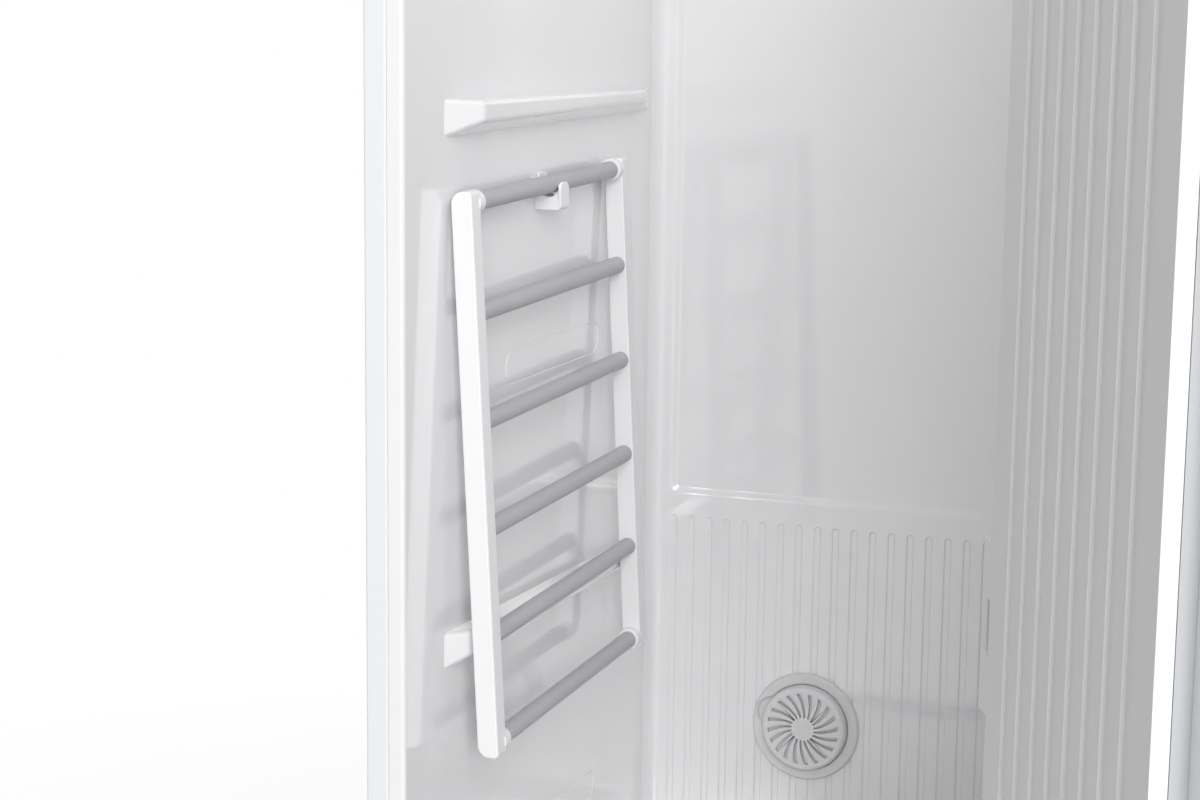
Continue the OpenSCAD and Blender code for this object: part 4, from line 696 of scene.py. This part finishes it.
# %% Set in the rods
first_rod = rod("rod", rod_r, -rod_seat + 0.2 * MM, rod_span + rod_seat - 0.2 * MM)
shade(first_rod)
rods = [twin(first_rod, f"rod_{i + 1}", in_rack @ Matrix.Translation((0, 0, -i * rod_pitch)))
        for i in range(rod_count)]
bpy.data.objects.remove(first_rod)
fit(as_one("rack_rods_made", rods), "rack", "grey_powder_coat", "rack_rods")
print(rod_count, "rods")

# %% Mould the hook
hook_w, hook_gap, hook_back, hook_lip = 16.2 * MM, 0.4 * MM, 3 * MM, 2.2 * MM
hook_drop, hook_rise, hook_top, hook_at = 15.5 * MM, 3.5 * MM, 10 * MM, 210.3 * MM
foot_round, top_round, lip_round = 3 * MM, 7 * MM, 6.5 * MM
over, above = 1 * MM, 20 * MM
lip_x = rack_wall + rod_r + hook_gap

hook = block("hook", (0, 0, -hook_drop), (lip_x + hook_lip, hook_w, hook_top))
with shaping(hook):
    pick("EDGE", lambda e: runs_along(e, 1) and near(middle(e).z, -hook_drop) and middle(e).x > hook_back)
    bpy.ops.mesh.bevel(offset=foot_round, segments=6, affect="EDGES")
seat = rod("seat", rod_r + hook_gap, -over, hook_w + over)
seat.data.transform(Matrix.Translation((rack_wall, 0, 0)))
throat = block("throat", (hook_back, -over, 0), (lip_x, hook_w + over, above))
above_lip = block("above_lip", (lip_x - over, -over, hook_rise), (lip_x + above, hook_w + over, above))
for cut in (seat, throat, above_lip):
    combine(hook, cut, "DIFFERENCE")
with shaping(hook):
    for z, radius in ((hook_top, top_round), (hook_rise, lip_round)):
        pick("EDGE", lambda e: runs_along(e, 0) and near(middle(e).z, z)
             and (near(middle(e).y, 0) or near(middle(e).y, hook_w)))
        bpy.ops.mesh.bevel(offset=radius, segments=8, affect="EDGES")
ease_edges(hook, 0.6 * MM, 3)
shade(hook, 35)
hook.data.transform(Matrix.Translation((-wall_x, front_y + hook_at, rod_axis.z)))
fit(hook, "cabinet", "satin_polypropylene", "rack_hook")
print("hook:", len(hook.data.polygons), "faces")

# %% [markdown]
# ## Steam grille
# The disc and its collar are turned parts: a chain of points is drawn from the middle outwards and spun.
# Stacked cylinders would lack the fine steps and round rims that catch the light. Twenty curled slots are
# then cut into the disc, and a thumb scoop into the collar.

# %% Turn the disc
grille_x, grille_height = 132.6 * MM, 105 * MM
disc_h, disc_gap = 10.2 * MM, 0.8 * MM
in_wall = (Matrix.Translation((-wall_x + grille_x, back_y, floor_z + grille_height))
           @ Matrix.Rotation(math.pi / 2, 4, "X"))


def bend(middle_r, middle_z, radius, start, end, steps):
    """Points (r, z) of an arc, in degrees."""
    angles = [math.radians(start + (end - start) * i / steps) for i in range(steps + 1)]
    return [(middle_r + radius * math.cos(a), middle_z + radius * math.sin(a)) for a in angles]


def one_vertex(place):
    """Merges the plane that is being shaped to one vertex and puts it in its place."""
    bpy.ops.mesh.select_mode(type="VERT")
    bpy.ops.mesh.select_all(action="SELECT")
    bpy.ops.mesh.merge(type="CENTER")
    bpy.ops.transform.translate(value=place)


def turned(name, profile, steps=96):
    """Extrudes one vertex along a profile of (r, z) points in millimetres and spins it about Z."""
    bpy.ops.mesh.primitive_plane_add(size=1, location=(0, 0, 0))
    piece = named(name)
    points = [Vector((r, 0, z)) * MM for r, z in profile]
    with shaping(piece):
        one_vertex(points[0])
        for a, b in zip(points, points[1:]):
            bpy.ops.mesh.extrude_vertices_move(TRANSFORM_OT_translate={"value": b - a})
        bpy.ops.mesh.select_all(action="SELECT")
        bpy.ops.mesh.spin(steps=steps, angle=2 * math.pi, center=(0, 0, 0), axis=(0, 0, 1))
    return turn_faces_out(piece)


disc = turned("steam_disc", [(0, 0), (33.8, 0), (33.8, 3.7)] + bend(30.7, 7.6, 2.6, 3, 85, 9)
              + [(30.2, 10.15), (29.6, 10.05), (29.2, 10.0)]
              + [(9.0, 10.0), (8.8, 10.05), (8.5, 10.2), (0, 10.2)])
print("disc:", len(disc.data.polygons), "faces")

# %% Cut the slots
slot_count, slot_in, slot_out = 20, 9.2 * MM, 28.5 * MM
slot_w_in, slot_w_out, swirl = 1.4 * MM, 3.4 * MM, math.radians(16)
slot_depth, slot_over = 4.5 * MM, 1.5 * MM


def slot_tool():
    """A strip that widens outwards and curls, given a height."""
    rows = 6
    bpy.ops.mesh.primitive_plane_add(size=1, location=(0, 0, 0))
    tool = named("slot")
    with shaping(tool):
        one_vertex((-slot_w_in / 2, slot_in, 0))
        bpy.ops.mesh.extrude_vertices_move(TRANSFORM_OT_translate={"value": (slot_w_in, 0, 0)})
        bpy.ops.mesh.select_all(action="SELECT")
        step = (slot_out - slot_in) / rows
        for i in range(rows):
            wide = [slot_w_in + (slot_w_out - slot_w_in) * k / rows for k in (i, i + 1)]
            bpy.ops.mesh.extrude_region_move(TRANSFORM_OT_translate={"value": (0, step, 0)})
            bpy.ops.transform.resize(value=(wide[1] / wide[0], 1, 1),
                                     center_override=(0, slot_in + step * (i + 1), 0))
        for i in range(rows, -1, -1):
            s = i / rows
            pick("VERT", lambda v: abs(v.co.y - slot_in - step * i) < step / 4)
            bpy.ops.transform.rotate(value=-swirl * (s - 0.5), orient_axis="Z", center_override=(0, 0, 0))
        bpy.ops.mesh.select_all(action="SELECT")
        rise = (0, 0, slot_depth + slot_over)
        bpy.ops.mesh.extrude_region_move(TRANSFORM_OT_translate={"value": rise})
    tool.data.transform(Matrix.Translation((0, 0, disc_h - slot_depth)))
    return turn_faces_out(tool)


slot = slot_tool()
slots = [twin(slot, f"slot_{i}", Matrix.Rotation(2 * math.pi * i / slot_count, 4, "Z"))
         for i in range(slot_count)]
bpy.data.objects.remove(slot)
combine(disc, as_one("slot_tools", slots), "DIFFERENCE")
ease_edges(disc, 0.22 * MM, 2, 50)
shade(disc, 40)
disc.data.transform(in_wall @ Matrix.Translation((0, 0, disc_gap)))
fit(disc, "cabinet", "satin_styrene", "steam_grille")
print("disc with its slots:", len(disc.data.polygons), "faces")

# %% Turn the collar
collar_r = 42.8 * MM
ring = turned("steam_ring", [(0, 0.7), (34.6, 0.7), (34.6, 3.0), (35.0, 3.4), (35.8, 3.55), (40.6, 4.1)]
              + bend(40.8, 2.9, 1.6, 80, 0, 7)
              + [(42.8, 1.0), (42.8, 0), (9.0, 0), (9.0, -16), (6.5, -16), (6.5, 0.1), (0, 0.1)])
scoop_r, scoop_turn = 13 * MM, math.radians(19)
scoop = rod("scoop", scoop_r, 0, 10 * MM)
with shaping(scoop):
    pick("EDGE", lambda e: lies_at_y(e, 0))
    bpy.ops.mesh.bevel(offset=3 * MM, segments=5, affect="EDGES")
scoop.data.transform(Matrix.Rotation(-scoop_turn, 4, "Z")
                     @ Matrix.Translation((scoop_r + 2.2 * MM - collar_r, 0, 0.6 * MM))
                     @ Matrix.Rotation(math.pi / 2, 4, "X"))
combine(ring, scoop, "DIFFERENCE")
shade(ring, 40)
ring.data.transform(in_wall)
fit(ring, "cabinet", "satin_styrene", "steam_collar")
print("collar:", len(ring.data.polygons), "faces")

# %% [markdown]
# ## Cabinet
# The side panels are steel sheet, folded at the front and the rear. A box would hide that, while a folded
# sheet shows its round folds and the seam beside the liner. A chain of points is drawn along the folds,
# drawn up to the full height, rounded at the folds and given the sheet's thickness.

# %% Fold the side panels
sheet_t, strip_w, hem, rear_fold = 1 * MM, 15.3 * MM, 9 * MM, 14 * MM
low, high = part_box("side_panel_left")
path = [(rear_fold, high.y), (0, high.y), (0, low.y), (strip_w, low.y), (strip_w, low.y + hem)]
path = [Vector((low.x + across, y, low.z)) for across, y in path]
bpy.ops.mesh.primitive_plane_add(size=1, location=(0, 0, 0))
panel = named("side_panel_left_folded")
with shaping(panel):
    one_vertex(path[0])
    for a, b in zip(path, path[1:]):
        bpy.ops.mesh.extrude_vertices_move(TRANSFORM_OT_translate={"value": b - a})
    bpy.ops.mesh.select_all(action="SELECT")
    bpy.ops.mesh.extrude_region_move(TRANSFORM_OT_translate={"value": (0, 0, high.z - low.z)})
    for fold in path[1:-1]:
        pick("EDGE", lambda e: upright_at(e, fold.x, fold.y))
        bpy.ops.mesh.bevel(offset=1.8 * MM, segments=5, affect="EDGES")
    bpy.ops.mesh.select_all(action="SELECT")
    bpy.ops.mesh.normals_make_consistent(inside=False)
finish_with(panel, "SOLIDIFY", thickness=sheet_t, offset=-1, use_even_offset=True)
shade(turn_faces_out(panel))
right_panel = twin(panel, "side_panel_right_folded", Matrix.Diagonal((-1, 1, 1, 1)))
fit(panel, "cabinet", "white_enamel", "side_panel_left")
fit(right_panel, "cabinet", "white_enamel", "side_panel_right")
print("side panels:", 2 * len(panel.data.polygons), "faces")

# %% [markdown]
# ## Softened copies
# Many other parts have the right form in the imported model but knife-sharp edges. To make them again would
# gain little, so each is copied, its loose triangles are merged to whole faces, and its edges are rounded as
# a mould or a press would leave them.

# %% Copy and soften the plainer parts
bodies = frame["record"]["behaviour"]["bodies"]
body_of_node = {part: body for body, parts in bodies.items() for part in parts}
material_of_slot = {slot: name for name, (material, slot) in finishes.items()}
# A finger recess leaves a hole in these nodes' front faces, so those faces need edges that reach it
recessed = ("supply_tank", "drain_tank")


def whole(node_name):
    """A copy of a node with merged vertices and flat faces in one piece, or in a few round a recess."""
    weld, flat = 0.005 * MM, math.radians(0.4)
    mesh = frame["nodes"][node_name].data.copy()
    piece = bpy.data.objects.new(node_name + "_made", mesh)
    bpy.context.scene.collection.objects.link(piece)
    with shaping(piece):
        bpy.ops.mesh.select_all(action="SELECT")
        bpy.ops.mesh.remove_doubles(threshold=weld)
        bpy.ops.mesh.normals_make_consistent(inside=False)
        bpy.ops.mesh.dissolve_limited(angle_limit=flat)
        if node_name in recessed:
            bpy.ops.mesh.vert_connect_concave()
    return piece


def eased(node_name, width_mm, segments=2, angle=42):
    """A softened copy of a node, which takes the node's place, body and finish."""
    piece = whole(node_name)
    ease_edges(piece, width_mm * MM, segments, angle)
    shade(piece, 35)
    return fit(piece, body_of_node[node_name], material_of_slot[slot_of_node[node_name]], node_name)


softness = {"top_panel": 0.5, "kick_plate": 0.3, "hinge_cover": 0.8, "rear_panel": 0.3, "base_tray": 0.4,
            "door_frame": 0.8, "edge_grip": 0.4, "display_window": 0.4, "press_base": 0.2,
            "press_cover": 0.2, "press_pins": 0.3, "hanger_bar": 0.8, "hanger_guide": 0.5,
            "filter_frame": 0.4, "lamp_lens": 0.8, "tank_bay": 0.5, "supply_lid": 0.8, "drain_lid": 0.8,
            "supply_tank": 0.8, "drain_tank": 0.8, "chamber_floor": 0.6, "air_outlet": 0.3,
            "top_hinge": 0.3, "bottom_hinge": 0.3, "power_inlet": 0.4, "levelling_foot_left": 0.5,
            "levelling_foot_right": 0.5, "rear_feet": 0.8}
for node_name, width in softness.items():
    piece = eased(node_name, width)
    print(f"{node_name}: {len(piece.data.polygons)} faces")

# %% [markdown]
# ## Door
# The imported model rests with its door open. Straight walls are easier to shape, so the door's pieces are
# made as for the closed door and then swung open about the hinge. Its inner moulding has a raised centre
# with soft sloping sides, like every vacuum-formed door liner.

# %% Mould the door's liner
hinge = next(joint for joint in frame["record"]["behaviour"]["joints"] if joint["name"] == "door_hinge")
hinge_at = Vector((*hinge["pos_m"][:2], 0))
opened = math.radians(-hinge["range_deg"][0])
swing = Matrix.Translation(hinge_at) @ Matrix.Rotation(opened, 4, "Z") @ Matrix.Translation(-hinge_at)
door_w, door_t, door_gap = 445 * MM, 50 * MM, 5 * MM
front_glass_t, door_liner_t, plateau_side, plateau_corner = 4 * MM, 3 * MM, 24 * MM, 20 * MM
plateau_short, plateau_lift = 60 * MM, 4 * MM
door_low, door_high = (corner.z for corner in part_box("door_frame"))
door_back = front_y - door_gap
door_middle = floor_z + (ceiling_z - floor_z) / 2 + plateau_lift

moulding = block("door_moulding", (-door_w / 2, door_back - door_liner_t, door_low),
                 (door_w / 2, door_back, door_high))
ease_edges(moulding, 0.8 * MM, 3)
plateau_steps = [(1.4 * MM, 0.3 * MM), (1.0 * MM, 0.9 * MM), (0.8 * MM, 1.6 * MM), (1.2 * MM, 9.4 * MM),
                 (0.8 * MM, 1.6 * MM), (1.0 * MM, 0.9 * MM), (1.4 * MM, 0.3 * MM)]
plateau = soft_tool("plateau", 2 * (wall_x - plateau_side), ceiling_z - floor_z - plateau_short,
                    plateau_corner, plateau_steps)
plateau.data.transform(Matrix.Translation((0, door_back, door_middle)))
combine(moulding, plateau, "UNION")
shade(moulding, 30)
moulding.data.transform(swing)
fit(moulding, "door", "gloss_styrene", "door_liner")
print("door liner:", len(moulding.data.polygons), "faces")

# %% Make the gasket's ring
gasket_w, gasket_t, gasket_base = 10 * MM, 4.5 * MM, 12 * MM
outer = block("gasket", (-wall_x - gasket_w, door_back, floor_z - gasket_base - gasket_w),
              (wall_x + gasket_w, door_back + gasket_t, ceiling_z + gasket_w))
inner = block("gasket_inside", (-wall_x, door_back - over, floor_z - gasket_base),
              (wall_x, door_back + gasket_t + over, ceiling_z))
combine(outer, inner, "DIFFERENCE")
with shaping(outer):
    pick("EDGE", lambda e: lies_at_y(e, door_back + gasket_t))
    bpy.ops.mesh.bevel(offset=1.8 * MM, segments=5, affect="EDGES")
shade(outer, 40)
outer.data.transform(swing)
fit(outer, "door", "soft_gasket", "door_gasket")
print("gasket:", len(outer.data.polygons), "faces")

# %% Cut the door's front
window_w, window_h, window_z = 70 * MM, 150 * MM, 1250 * MM
door_front = door_back - door_t
front = block("door_front", (-door_w / 2, door_front, door_low),
              (door_w / 2, door_front + front_glass_t, door_high))
with shaping(front):
    pick("EDGE", lambda e: runs_along(e, 1))
    bpy.ops.mesh.bevel(offset=4 * MM, segments=6, affect="EDGES")
    pick("EDGE", lambda e: lies_at_y(e, door_front))
    bpy.ops.mesh.bevel(offset=1.2 * MM, segments=4, affect="EDGES")
cutter = block("window_cutter", (-window_w / 2, door_front - over, window_z - window_h / 2),
               (window_w / 2, door_front + front_glass_t + over, window_z + window_h / 2))
with shaping(cutter):
    pick("EDGE", lambda e: runs_along(e, 1))
    bpy.ops.mesh.bevel(offset=8 * MM, segments=8, affect="EDGES")
combine(front, cutter, "DIFFERENCE")
shade(front, 30)
front.data.transform(swing)
fit(front, "door", "front_glass", "door_front_panel")
print("door front:", len(front.data.polygons), "faces")
